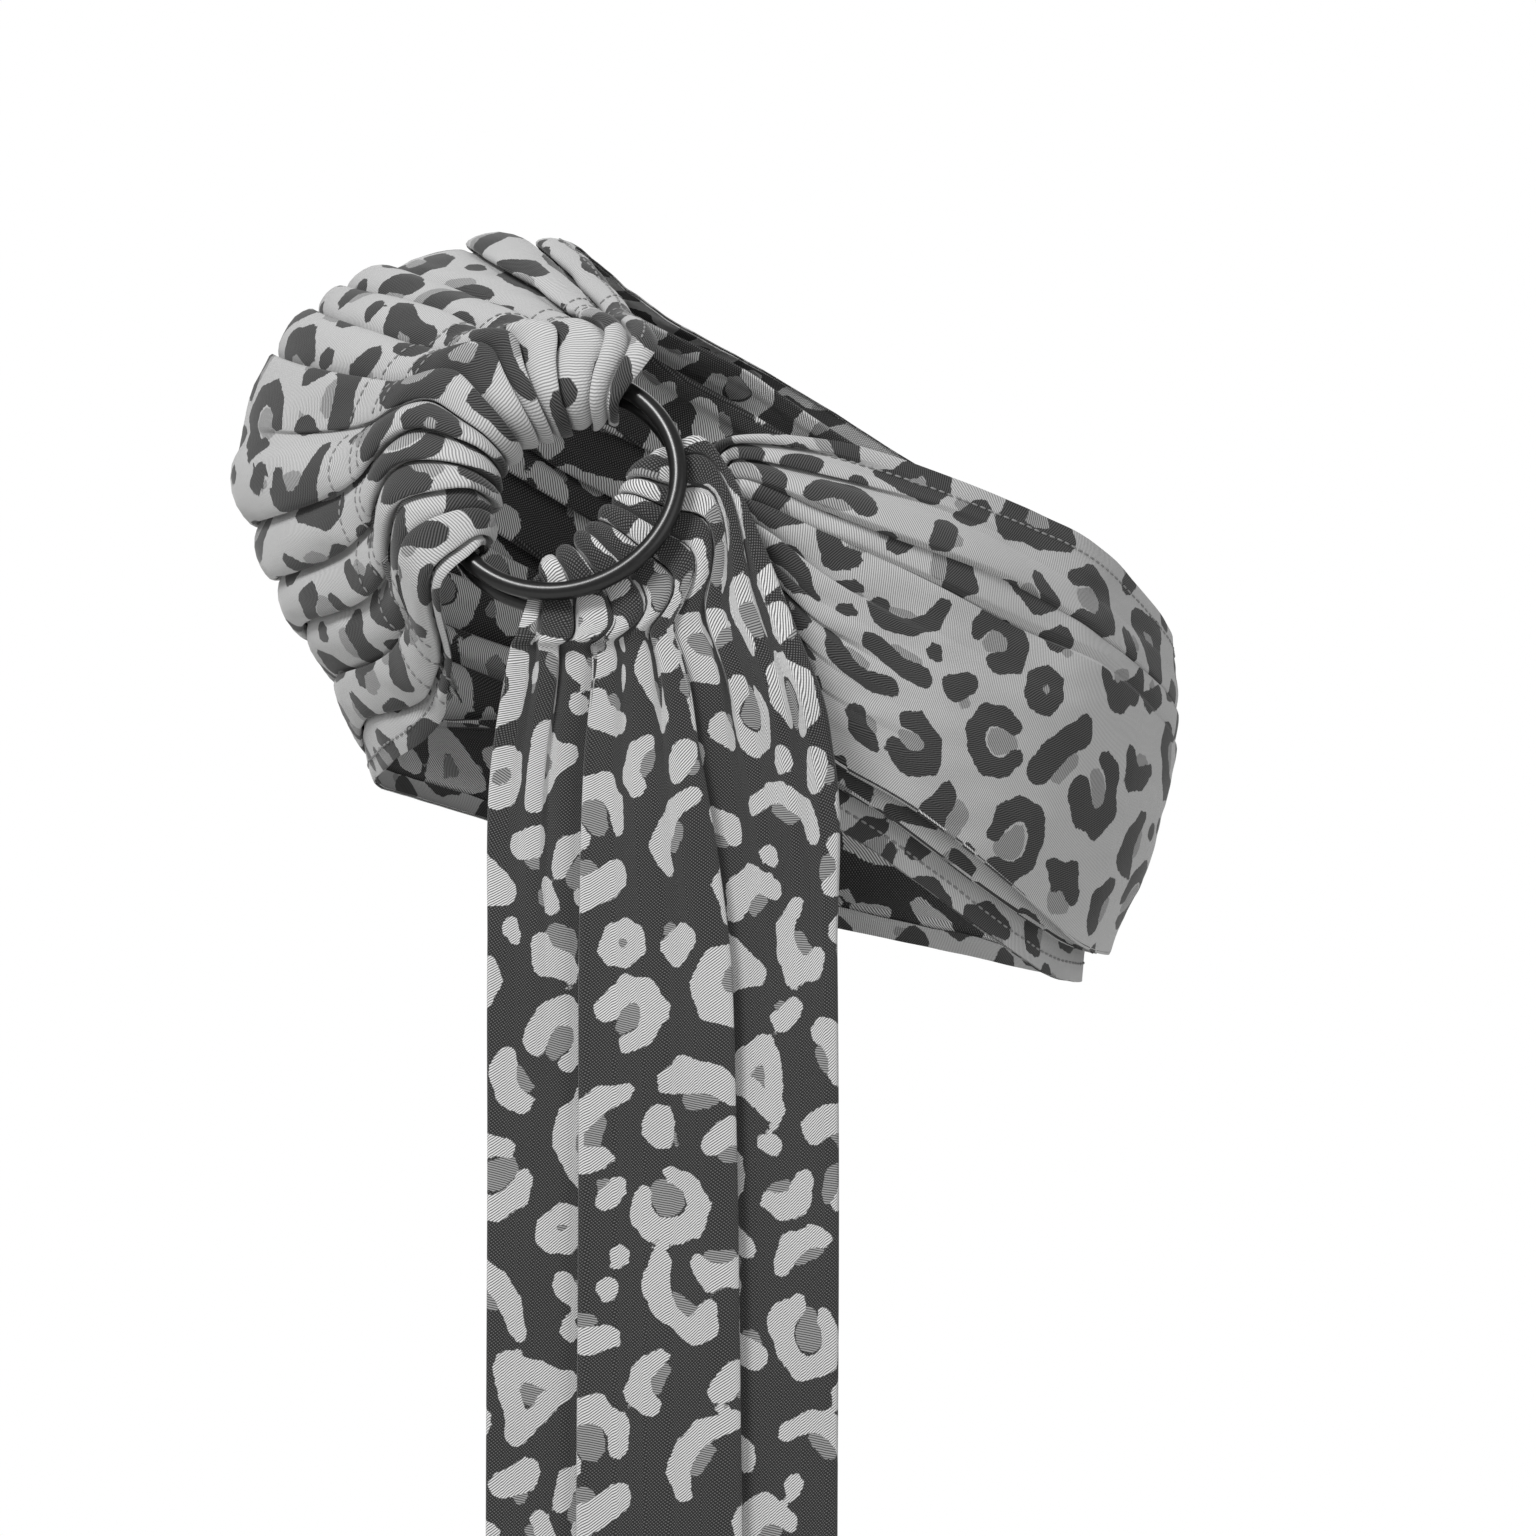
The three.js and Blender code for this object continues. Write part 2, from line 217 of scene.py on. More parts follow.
# ---- Jacquard ----
# Pattern lengths are in millimetres of flat cloth. A spot is a stroke and a half-tone fill, each a
# chain of (x, y, radius) points joined by tapering bars.
SPOTS = [
    ([(7.4, 5.2, 3), (3, 8.6, 3.4), (-3.6, 8, 3.6), (-8, 3, 3.7), (-8.4, -3.4, 3.6),
      (-3.8, -8.2, 3.7), (3.2, -8, 3.5), (7.6, -4.2, 2.9)], [(0.6, 0, 5), (5, 0.6, 3.6)]),
    ([(0, 11.5, 4.6), (1.4, 4, 4.4), (0.2, -3, 5.2), (-2.4, -9, 5.4)], [(-4.4, 3.6, 3.6),
      (-5.6, -3, 3.8)]),
    ([(-7.5, 2, 4), (-1.5, 5.6, 4.4), (5.5, 3.2, 4), (8, -1.5, 3.2)], [(-1, 0, 3.6),
      (4, -1.6, 3.6)]),
    ([(0, 0, 4.3), (1.6, 1.4, 3.4)], []),
    ([(-9, -8, 3.9), (0.5, -9, 3.6), (9.6, -6.6, 4.2), (5.2, 2, 3.5), (0.6, 10.4, 4),
      (-4.4, 2.4, 3.5), (-9, -8, 3.9)], [(0.6, -3.6, 5)]),
    ([(-4.5, 5, 4.6), (3, 6.5, 4.8), (6.6, 1.5, 3.6)], [(-0.5, -0.5, 5.6), (3.4, -2.4, 3.6)]),
    ([(11, 10.5, 3.2), (3.5, 8.8, 3.8), (-3.5, 3, 4.2), (-6.5, -5, 4.6), (-2, -10, 4),
      (3.4, -8.6, 3.2)], [(1.4, 1, 3.8), (-0.4, -4.6, 4.2)]),
    ([(-8, 0, 3.8), (-3, 4.4, 4.4), (3.4, 2, 4.2), (8, 5, 3.4)], [(0.6, -3, 4.2), (-4, -3.4, 3.2)]),
    ([(0, 6.4, 3.2), (5.2, 3.8, 3.2), (6.2, -2.2, 3.2), (1.8, -6.4, 3.3), (-4.2, -5.4, 3.2),
      (-6.4, 0.2, 3.2), (-4, 4.8, 3.2), (0, 6.4, 3.2)], [(0, 0, 5)]),
    ([(-13, 3.6, 3.6), (-6, -1.4, 4), (2, -2.2, 3.6), (8.6, 0.8, 3.6), (12.6, 6.4, 3.4)],
      [(-2, 3.2, 3), (3.6, 3, 3.2)]),
    ([(-3, -9.5, 3.9), (-4.6, -2, 4.6), (-2, 5.5, 4.8), (4.4, 7.4, 4)], [(2.6, 0.8, 3.8),
      (2, -4.4, 3)]),
    ([(-3.5, 0, 4.2), (3.5, 1.5, 4.4)], [(0.8, -4.2, 3.2)]),
    ([(6.6, -6, 3), (8.2, 1, 3.3), (3.8, 7.4, 3.8), (-3.6, 7.2, 4.2), (-8, 1.4, 4.2),
      (-6.4, -6, 4.6)], [(0.4, 0, 4.4), (0.6, -4, 3.2)]),
    ([(-2, 2.2, 5), (3.6, -2.6, 4.6)], [(4, 3.6, 3)]),
]
LARGE, MIDDLING, SMALL = (0, 6, 12, 9, 4, 0, 12, 6), (1, 2, 5, 7, 8, 10, 13, 0, 12), (3, 11, 13)
REPEAT = (262, 222)                # the pattern's repeat across and along, whole millimetres
SPOT_GAP = 3.0
SPOT_SEED, SPOT_TRIES = 11, 110    # tries to find one spot's place
SPOT_HALF, SPOT_REACH = 24, 26     # the window a spot is tested in, and how far one is looked for
OUTSIDE, NO_CHAIN = -6.0, -99.0    # depths where there is no spot near, and for an empty chain
ROUNDING = 0.7                     # of the corners where bars meet
# Kinds of spot, how many are tried and their scales, in the order they are placed.
SPOT_ROUNDS = ((LARGE, 24, (1.0, 1.3)), (MIDDLING, 80, (0.9, 1.25)), (SMALL, 34, (0.8, 1.2)))
THREAD = 0.55                      # the weave's step along a spot's edge
TWILL_PITCH = 0.9
EDGE = 0.14


def chain_depth(chain, points):
    """How deep each point lies inside a chain of tapering bars; negative outside."""
    if not chain:
        return np.full(points.shape[:-1], NO_CHAIN)
    depths = []
    for (x0, y0, r0), (x1, y1, r1) in zip(chain, chain[1:] or chain):
        start, run = np.array([x0, y0]), np.array([x1 - x0, y1 - y0])
        share = np.clip((points - start) @ run / max(run @ run, 1e-6), 0, 1)
        gap = np.linalg.norm(points - start - share[..., None] * run, axis=-1)
        depths.append(r0 + (r1 - r0) * share - gap)
    return ROUNDING * np.log(np.sum(np.exp(np.array(depths) / ROUNDING), axis=0))


def placed_chain(chain, turn, scale):
    c, s = math.cos(turn), math.sin(turn)
    return [
        ((c * x - s * y) * scale, (s * x + c * y) * scale, r * (0.5 + 0.5 * scale)) for x, y, r in chain
    ]


def scatter_spots():
    """Places spots over one repeat, large ones first, so that small ones fill what is left."""
    random = np.random.default_rng(SPOT_SEED)
    taken = np.zeros(REPEAT, bool)
    span = np.arange(-SPOT_HALF, SPOT_HALF + 1)
    window = np.stack(np.meshgrid(span, span, indexing="ij"), axis=-1).astype(float)
    spots = []
    for kinds, count, scales in SPOT_ROUNDS:
        for _ in range(count):
            stroke, fill = SPOTS[random.choice(kinds)]
            turn, scale = random.uniform(0, math.tau), random.uniform(*scales)
            stroke, fill = placed_chain(stroke, turn, scale), placed_chain(fill, turn, scale)
            depth = np.maximum(chain_depth(stroke, window), chain_depth(fill, window))
            body, solid = (np.argwhere(depth > limit) - SPOT_HALF for limit in (-SPOT_GAP, 0))
            for _ in range(SPOT_TRIES):
                place = np.array([random.integers(REPEAT[0]), random.integers(REPEAT[1])])
                cells = (body + place) % REPEAT
                if not taken[cells[:, 0], cells[:, 1]].any():
                    cells = (solid + place) % REPEAT
                    taken[cells[:, 0], cells[:, 1]] = True
                    spots.append((place, stroke, fill))
                    break
    return spots


spots = scatter_spots()


def pattern_depths(flat):
    """How deep flat points lie in the nearest stroke and the nearest fill."""
    x, y = flat[:, 0], flat[:, 1]
    bend_x = np.sin(y / 5.1 + 1.1 * np.sin(x / 7.3))
    bend_y = np.sin(x / 5.7 + 1.3 * np.sin(y / 8.9))
    bend = np.stack([bend_x, bend_y], axis=-1)
    flat = flat + 0.75 * bend + 1.3 * np.sin(flat[:, ::-1] / 13.0 + 0.6 * bend)
    stroke = np.full(len(flat), OUTSIDE)
    fill = stroke.copy()
    size = np.array(REPEAT, float)
    for place, stroke_chain, fill_chain in spots:
        local = (flat - place + size / 2) % size - size / 2
        near = np.flatnonzero(np.abs(local).max(axis=1) < SPOT_REACH)
        stroke[near] = np.maximum(stroke[near], chain_depth(stroke_chain, local[near]))
        fill[near] = np.maximum(fill[near], chain_depth(fill_chain, local[near]))
    return stroke, fill


def spot_masks(graph, flat):
    """Masks for the strokes and the fills, their edges stepped by the threads."""
    coarse = graph.vector("SNAP", flat, (THREAD, THREAD, 1.0))
    ragged = graph.math("MULTIPLY_ADD", graph.noise(coarse, 0.55, 1.0), 1.2, -0.6)
    depth = graph.node("ShaderNodeAttribute", attribute_name="spot_stroke").outputs["Fac"]
    stroke = graph.step(graph.math("ADD", depth, ragged), -EDGE, EDGE)
    depth = graph.node("ShaderNodeAttribute", attribute_name="spot_fill").outputs["Fac"]
    fill = graph.step(graph.math("SUBTRACT", depth, ragged), -EDGE, EDGE)
    return stroke, graph.math("MULTIPLY", fill, graph.math("SUBTRACT", 1.0, stroke))


def twill(graph, flat, direction, pitch):
    """A wave across the weave's diagonal lines, from 0 to 1."""
    run = graph.vector("DOT_PRODUCT", flat, direction, output=1)
    wave = graph.math("SINE", graph.math("MULTIPLY", run, math.tau / pitch))
    return graph.math("MULTIPLY_ADD", wave, 0.5, 0.5)


def cloth_material(name, ground, spot, inner, dotted):
    """Each of ground, spot and inner is (colour between the thread lines, colour on them)."""
    material, graph, surface = new_material(name)
    uv = graph.node("ShaderNodeUVMap", uv_map="flat").outputs[0]
    flat = graph.vector("MULTIPLY", uv, (1000.0, 1000.0, 0.0))
    stroke, fill = spot_masks(graph, flat)
    down = twill(graph, flat, (0.74, 0.67, 0.0), TWILL_PITCH)
    up = twill(graph, flat, (-0.62, 0.78, 0.0), TWILL_PITCH * 0.86)
    lines = graph.step(twill(graph, flat, (0.22, 0.975, 0.0), TWILL_PITCH * 0.9), 0.3, 0.8)
    counter = graph.step(up, 0.35, 0.75)
    crossed = graph.math("MULTIPLY", counter, graph.step(down, 0.25, 0.65))
    base = graph.mix(crossed if dotted else lines, grey(ground[0]), grey(ground[1]))
    marks = graph.mix(counter, grey(spot[0]), grey(spot[1]))
    mid = graph.mix(lines, grey(inner[0]), grey(inner[1]))
    colour = graph.mix(stroke, graph.mix(fill, base, mid), marks)
    shade = graph.noise(flat, 0.02, 3.0)
    patchy = graph.math("MULTIPLY_ADD", shade, 0.16, 0.92)
    scaled = graph.vector("SCALE", colour)
    graph.feed(scaled.node.inputs["Scale"], patchy)
    graph.feed(surface["Base Color"], scaled)
    surface["Roughness"].default_value = 0.88
    surface["Specular IOR Level"].default_value = 0.25
    surface["Sheen Weight"].default_value = 0.18
    surface["Sheen Roughness"].default_value = 0.45
    slub = graph.noise(graph.vector("MULTIPLY", flat, (1.0, 0.12, 1.0)), 1.1, 1.0)
    height = graph.math("ADD", graph.math("MULTIPLY", down, 0.7), graph.math("MULTIPLY", slub, 0.8))
    height = graph.math("ADD", height, graph.math("MULTIPLY", stroke, 0.35))
    graph.feed(surface["Normal"], graph.bump(0.35, 0.00022, height))
    return material


face_cloth = cloth_material("cloth_face", (0.51, 0.23), (0.016, 0.075), (0.34, 0.09), dotted=False)
reverse_cloth = cloth_material("cloth_reverse", (0.014, 0.12), (0.66, 0.12), (0.30, 0.06), dotted=True)


def plain_material(name, colour, roughness, metallic=0.0, grain=400.0, depth=0.00002):
    material, graph, surface = new_material(name)
    place = graph.node("ShaderNodeTexCoord").outputs["Object"]
    speck = graph.noise(place, grain, 3.0)
    graph.feed(surface["Base Color"], graph.mix(speck, grey(colour * 0.85), grey(colour * 1.2)))
    rough = graph.math("MULTIPLY_ADD", speck, 0.12, roughness - 0.06)
    graph.feed(surface["Roughness"], rough)
    surface["Metallic"].default_value = metallic
    graph.feed(surface["Normal"], graph.bump(0.3, depth, speck))
    return material


ring_metal = plain_material("ring_metal", 0.035, 0.3, metallic=0.85, grain=900.0)
thread_material = plain_material("stitch_thread", 0.2, 0.75, grain=1500.0, depth=0.0001)


# ---- The two rings' frames ----
def unit(vector):
    return vector / np.linalg.norm(vector)


def turned(vector, axis, angle):
    """vector turned about a unit axis that is square to it."""
    return vector * math.cos(angle) + np.cross(axis, vector) * math.sin(angle)


class RingFrame:
    """A ring's centre and directions: out faces the viewer, loop points to the sewn end."""

    def __init__(self, centre, out, loop):
        self.centre, self.out = centre, unit(out)
        self.loop = unit(loop - self.out * loop.dot(self.out))
        self.side = np.cross(self.out, self.loop)

    def point(self, radius, angle, depth):
        across = self.loop * math.cos(angle) + self.side * math.sin(angle)
        return self.centre + across * radius + self.out * depth


def box_middle(node):
    low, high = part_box(node)
    return (np.array(low) + np.array(high)) / 2 / METRE


front_ring_frame = RingFrame(box_middle("front_ring"), RING_FACING, LOOP_SIDE)
pivot = front_ring_frame.point(RING_RADIUS, 0, -RING_GAP)
back_out = turned(front_ring_frame.out, front_ring_frame.side, -WEDGE_ANGLE)
back_loop = turned(front_ring_frame.loop, front_ring_frame.side, -WEDGE_ANGLE)
back_ring_frame = RingFrame(pivot - back_loop * RING_RADIUS, back_out, back_loop)


# ---- Base surfaces ----
POINTS = 6                         # across each row, from the neck edge to the arm edge


def arc_row(ring, middle, half_arc, radius, depth):
    """A row along a ring; radius and depth may be functions of the angle from the middle."""
    row = []
    for share in np.linspace(-1, 1, POINTS):
        angle = share * half_arc
        r, d = (item(angle) if callable(item) else item for item in (radius, depth))
        row.append(ring.point(r, middle + angle, d))
    return np.array(row)


def threaded_arc(radius, depth):
    """A row round the back ring, opposite the sewn loop."""
    return arc_row(back_ring_frame, math.pi, -WRAP_ARC, radius, depth)


def level_row(z, left, right, y=TAIL_Y):
    return np.array([(x, y, z) for x in np.linspace(right, left, POINTS)], float)


def row(*points):
    return np.array(points, float)


def knots_of(rows):
    """How far along the cloth each row lies, from the first."""
    gaps = [np.linalg.norm(b - a, axis=1).mean() for a, b in zip(rows, rows[1:])]
    return np.concatenate([[0], np.cumsum(gaps)])


def distance_at(knots, number):
    """How far along the cloth a row number lies; it may be fractional."""
    return np.interp(number, np.arange(len(knots)), knots)


def spaced_places(knots, coarse, fine, *fine_spans):
    """Places for the mesh's rows: fine steps inside the spans of row numbers, coarse elsewhere."""
    place, places = knots[0], [knots[0]]
    limits = [distance_at(knots, span) for span in fine_spans]
    while place < knots[-1]:
        place += fine if any(low <= place <= high for low, high in limits) else coarse
        places.append(min(place, knots[-1]))
    return np.array(places)


def ramps(knots, places):
    """A function that takes (row number, value) pairs and gives the value at each place."""
    def ramp(*pairs):
        numbers, values = zip(*pairs)
        return np.interp(places, distance_at(knots, numbers), values)
    return ramp


def cubic(knots, values, places):
    """A smooth curve through values at knots, for an array of places; values may be vectors."""
    values = np.asarray(values, float)
    slopes = np.gradient(values, knots, axis=0)
    spot = np.clip(np.searchsorted(knots, places, side="right") - 1, 0, len(knots) - 2)
    width = (knots[spot + 1] - knots[spot])
    t = (places - knots[spot]) / width
    shape = (-1,) + (1,) * (values.ndim - 1)
    t, width = t.reshape(shape), width.reshape(shape)
    return (
        (2 * t**3 - 3 * t**2 + 1) * values[spot]
        + (t**3 - 2 * t**2 + t) * width * slopes[spot]
        + (3 * t**2 - 2 * t**3) * values[spot + 1]
        + (t**3 - t**2) * width * slopes[spot + 1]
    )


class Base:
    """The surface that pleats stand on: points and outward normals at a distance across a row."""

    ACROSS = 160

    def __init__(self, rows, places, side):
        knots = knots_of(rows)
        ribs = cubic(knots, np.array(rows), places)
        share = np.linspace(0, 1, self.ACROSS)
        grid = np.stack([cubic(np.linspace(0, 1, POINTS), rib, share) for rib in ribs])
        steps = np.linalg.norm(np.diff(grid, axis=1), axis=2)
        self.run = np.concatenate([np.zeros((len(places), 1)), np.cumsum(steps, axis=1)], axis=1)
        self.spread = self.run[:, -1]
        along = np.gradient(grid, axis=0)
        across = np.gradient(grid, axis=1)
        normal = np.cross(along, across) * side
        self.normal = normal / np.linalg.norm(normal, axis=2, keepdims=True)
        self.grid = grid

    def at(self, j, w):
        """Base points and normals of row j at distances w across it, carried on past its ends."""
        point = np.stack([np.interp(w, self.run[j], self.grid[j, :, k]) for k in range(3)], axis=-1)
        normal = np.stack([np.interp(w, self.run[j], self.normal[j, :, k]) for k in range(3)], axis=-1)
        normal /= np.linalg.norm(normal, axis=1, keepdims=True)
        return point, normal


# ---- Folded sections ----
UNWRAP_ROUNDS = 10
THIN_ROWS, THIN_COLUMNS = 4, 3     # the grid that is unwrapped keeps one in so many
BULGE_STEPS = 8
TUCK_STEPS = 7
DEEPENING = (-1, 40)               # how far tucks may be deepened for the flat coordinates
RETURN_STEPS = 30
FOLD_EDGE = 1.6                    # how soon a flat fold's sides part from its edge
WIDEST_GAP = 0.7                   # a tuck's opening, as a share of the pleat next to it
END_LEVEL = 0.5                    # the last pleat's outer edge, as a share of its level
SMOOTH_ROWS = 4
WAVE_COUNT = 14


def eased(count):
    """Shares from 0 to 1, closer together at both ends."""
    return 0.5 - 0.5 * np.cos(np.linspace(0, math.pi, count + 1))


def section(spread, tucks, deepen=0.0, neck_return=None, arm_return=None):
    """A row's fold line as distances across (w) and off the base (n).

    Each tuck is a dict: its place across, the tip (w, n) relative to the place and the base, the gap
    it opens, the levels of the cloth before and after it and the bulge of the pleat before it, and
    for a fold laid flat the levels of its two hidden sides and how flat it lies. The last entry has
    only a level and a bulge. deepen moves every tip further in. A return is the (w, n) of a hidden
    edge: a layer that lies behind the others.
    """
    w, n = [], []

    def line(start, end, count, bulge=0.0, skip=1, laid=0.0, level=0.0):
        share = eased(count)[skip:]
        w.extend(start[0] + (end[0] - start[0]) * share)
        straight = start[1] + (end[1] - start[1]) * share + bulge * (4 * share * (1 - share)) ** 0.8
        reach = abs(end[0] - start[0]) + 0.1
        leave = np.clip(share * reach / FOLD_EDGE, 0, 1)
        arrive = np.clip((1 - share) * reach / FOLD_EDGE, 0, 1)
        flat = level + (start[1] - level) * (1 - leave) ** 2 + (end[1] - level) * (1 - arrive) ** 2
        n.extend(straight * (1 - laid) + flat * laid)

    here = (0.0, tucks[0]["level"])
    if neck_return:
        line(neck_return, (0.0, neck_return[1]), RETURN_STEPS, skip=0)
    first = 0
    for tuck in tucks[:-1]:
        entry = (tuck["place"] - tuck["gap"] / 2, tuck["level"])
        line(here, entry, BULGE_STEPS, tuck["bulge"], skip=first)
        first = 1
        tip = (tuck["place"] + tuck["tip_w"], tuck["tip_n"] - deepen)
        line(entry, tip, TUCK_STEPS, laid=tuck["laid"], level=tuck["side_in"])
        here = (tuck["place"] + tuck["gap"] / 2, tuck["next_level"])
        line(tip, here, TUCK_STEPS, laid=tuck["laid"], level=tuck["side_out"])
    line(here, (spread, tucks[-1]["level"]), BULGE_STEPS, tucks[-1]["bulge"])
    if arm_return:
        line((spread, arm_return[1]), arm_return, RETURN_STEPS, skip=0)
    return np.array(w), np.array(n)


def row_tucks(tables, j, spread):
    """The tucks of row j out of the tables, with their places as distances."""
    tucks = [{name: column[j] for name, column in table.items()} for table in tables]
    stops = [0.0, *(tuck["place"] * spread for tuck in tucks), spread]
    for before, tuck, place, after in zip(stops, tucks, stops[1:], stops[2:]):
        tuck["place"] = place
        tuck["gap"] = min(tuck["gap"], WIDEST_GAP * (place - before), WIDEST_GAP * (after - place))
    tucks.append({"level": tucks[-1]["next_level"] * END_LEVEL, "bulge": 0.5 * tucks[-1]["bulge"]})
    return tucks


def soften(values, passes):
    """Rounds an array's rows between neighbours, with its ends kept."""
    values = values.copy()
    for _ in range(passes):
        values[:, 1:-1] = (values[:, :-2] + 2 * values[:, 1:-1] + values[:, 2:]) / 4
    return values


def smoothed(column):
    """A column of row values, averaged over about SMOOTH_ROWS rows either way."""
    offsets = np.arange(-2 * SMOOTH_ROWS, 2 * SMOOTH_ROWS + 1)
    weights = np.exp(-0.5 * (offsets / SMOOTH_ROWS) ** 2)
    padded = np.pad(column, 2 * SMOOTH_ROWS, mode="edge")
    return sum(weight * padded[k : k + len(column)] for k, weight in enumerate(weights)) / weights.sum()


def waves(spots, size, seed):
    """A smooth random field over spots, about -1 to 1, finer across the cloth than along it."""
    random = np.random.default_rng(seed)
    field = np.zeros(spots.shape[:2])
    for _ in range(WAVE_COUNT):
        direction = random.normal(size=2) * np.array([1.0, 0.45])
        wave = spots @ (direction / size * 2.2) + random.uniform(0, math.tau)
        field += np.sin(wave + 1.3 * np.sin(spots @ random.normal(size=2) / size / 2))
    return field / 4


def thinned(count, step):
    """Indices 0 to count - 1 about step apart, with the last one kept."""
    return np.unique(np.append(np.arange(0, count, step), count - 1))


def picked(values, places):
    """Rows of an array at fractional indices."""
    low = np.clip(places.astype(int), 0, len(values) - 2)
    share = (places - low).reshape((-1,) + (1,) * (values.ndim - 1))
    return values[low] * (1 - share) + values[low + 1] * share


def filled(values, kept, count):
    """count rows out of an array that holds only the kept ones."""
    return picked(values, np.interp(np.arange(count), kept, np.arange(len(kept))))


def quads(index):
    """Faces over a grid of vertex indices."""
    corners = (index[:-1, :-1], index[:-1, 1:], index[1:, 1:], index[1:, :-1])
    return np.stack(corners, axis=-1).reshape(-1, 4)


def flattened(points, anchor):
    """Flat coordinates of a grid of points: the grid is thinned, unwrapped and filled in again.

    Column distances come out along x and row distances along y, with y zero on the anchor row.
    """
    rows, columns = thinned(points.shape[0], THIN_ROWS), thinned(points.shape[1], THIN_COLUMNS)
    coarse = points[np.ix_(rows, columns)]
    count = coarse.shape[0] * coarse.shape[1]
    faces = quads(np.arange(count).reshape(coarse.shape[:2]))
    mesh = bpy.data.meshes.new("unwrap")
    mesh.from_pydata((coarse.reshape(-1, 3) * METRE).tolist(), [], faces.tolist())
    mesh.uv_layers.new(name="flat")
    obj = new_object("unwrap", mesh)
    bpy.context.view_layer.objects.active = obj
    obj.select_set(True)
    bpy.ops.object.mode_set(mode="EDIT")
    bpy.ops.mesh.select_all(action="SELECT")
    bpy.ops.uv.unwrap(method="MINIMUM_STRETCH", iterations=UNWRAP_ROUNDS, no_flip=False, margin=0)
    bpy.ops.object.mode_set(mode="OBJECT")
    corners = np.empty(len(mesh.loops), np.int32)
    mesh.loops.foreach_get("vertex_index", corners)
    uv = np.empty(2 * len(mesh.loops), np.float32)
    mesh.uv_layers["flat"].data.foreach_get("uv", uv)
    flat = np.zeros((count, 2))
    flat[corners] = uv.reshape(-1, 2)
    flat = flat.reshape(coarse.shape[0], coarse.shape[1], 2)
    bpy.data.objects.remove(obj)
    bpy.data.meshes.remove(mesh)
    real = np.linalg.norm(np.diff(coarse, axis=0), axis=2).sum()
    flat *= real / np.linalg.norm(np.diff(flat, axis=0), axis=2).sum()
    near = int(np.argmin(np.abs(rows - anchor)))
    down = (flat[near + 2] - flat[near - 2]).mean(axis=0)
    down /= np.linalg.norm(down)
    turn = np.array([[down[1], down[0]], [-down[0], down[1]]])
    flat = flat @ turn
    if (flat[near, -1] - flat[near, 0])[0] < 0:
        flat[..., 0] *= -1
    flat -= flat[near].mean(axis=0)
    wide = filled(flat.transpose(1, 0, 2), columns, points.shape[1]).transpose(1, 0, 2)
    return filled(wide, rows, points.shape[0])


class Cloth:
    """A grid of points with flat coordinates, ready to be made into meshes.

    sections(j, spread, deepen) gives row j's fold line. The flat coordinates come from rows whose
    tucks are deepened until each holds the same width of cloth, as real pleats do.
    """

    def __init__(self, rows, places, sections, width, anchor, side):
        base = Base(rows, places, side)
        count = len(places)
        shallow = [sections(j, base.spread[j], 0.0) for j in range(count)]
        tucks = self.tucks_in(shallow[0])
        deep = []
        for j, (w, n) in enumerate(shallow):
            missing = width - np.hypot(np.diff(w), np.diff(n)).sum()
            deep.append(sections(j, base.spread[j], np.clip(missing / (2 * tucks), *DEEPENING)))
        self.points, self.normals, w = self.placed(base, shallow)
        self.spots = np.stack([w - base.spread[:, None] / 2, places[:, None] + 0 * w], axis=-1)
        virtual, _, _ = self.placed(base, deep)
        self.flat = flattened(virtual, anchor)

    @staticmethod
    def tucks_in(line):
        w, n = line
        return max(1, (len(w) - BULGE_STEPS) // (BULGE_STEPS + 2 * TUCK_STEPS))

    @staticmethod
    def placed(base, folded):
        w = soften(np.array([item[0] for item in folded]), 2)
        n = soften(np.array([item[1] for item in folded]), 2)
        w = np.clip(w, 0, base.spread[:, None])
        points, normals = [], []
        for j in range(len(folded)):
            point, normal = base.at(j, w[j])
            points.append(point + normal * n[j][:, None])
            normals.append(normal)
        return np.array(points), np.array(normals), w

    def crumple(self, size, amount, seed):
        """Moves the points along the base's normals, all layers at one spot alike."""
        amount = np.asarray(amount) * np.ones(len(self.points))
        self.points += self.normals * (waves(self.spots, size, seed) * amount[:, None])[:, :, None]

    def facing(self, side):
        """The folded surface's own normals."""
        normal = np.cross(np.gradient(self.points, axis=0), np.gradient(self.points, axis=1)) * side
        return normal / np.maximum(np.linalg.norm(normal, axis=2, keepdims=True), 1e-9)


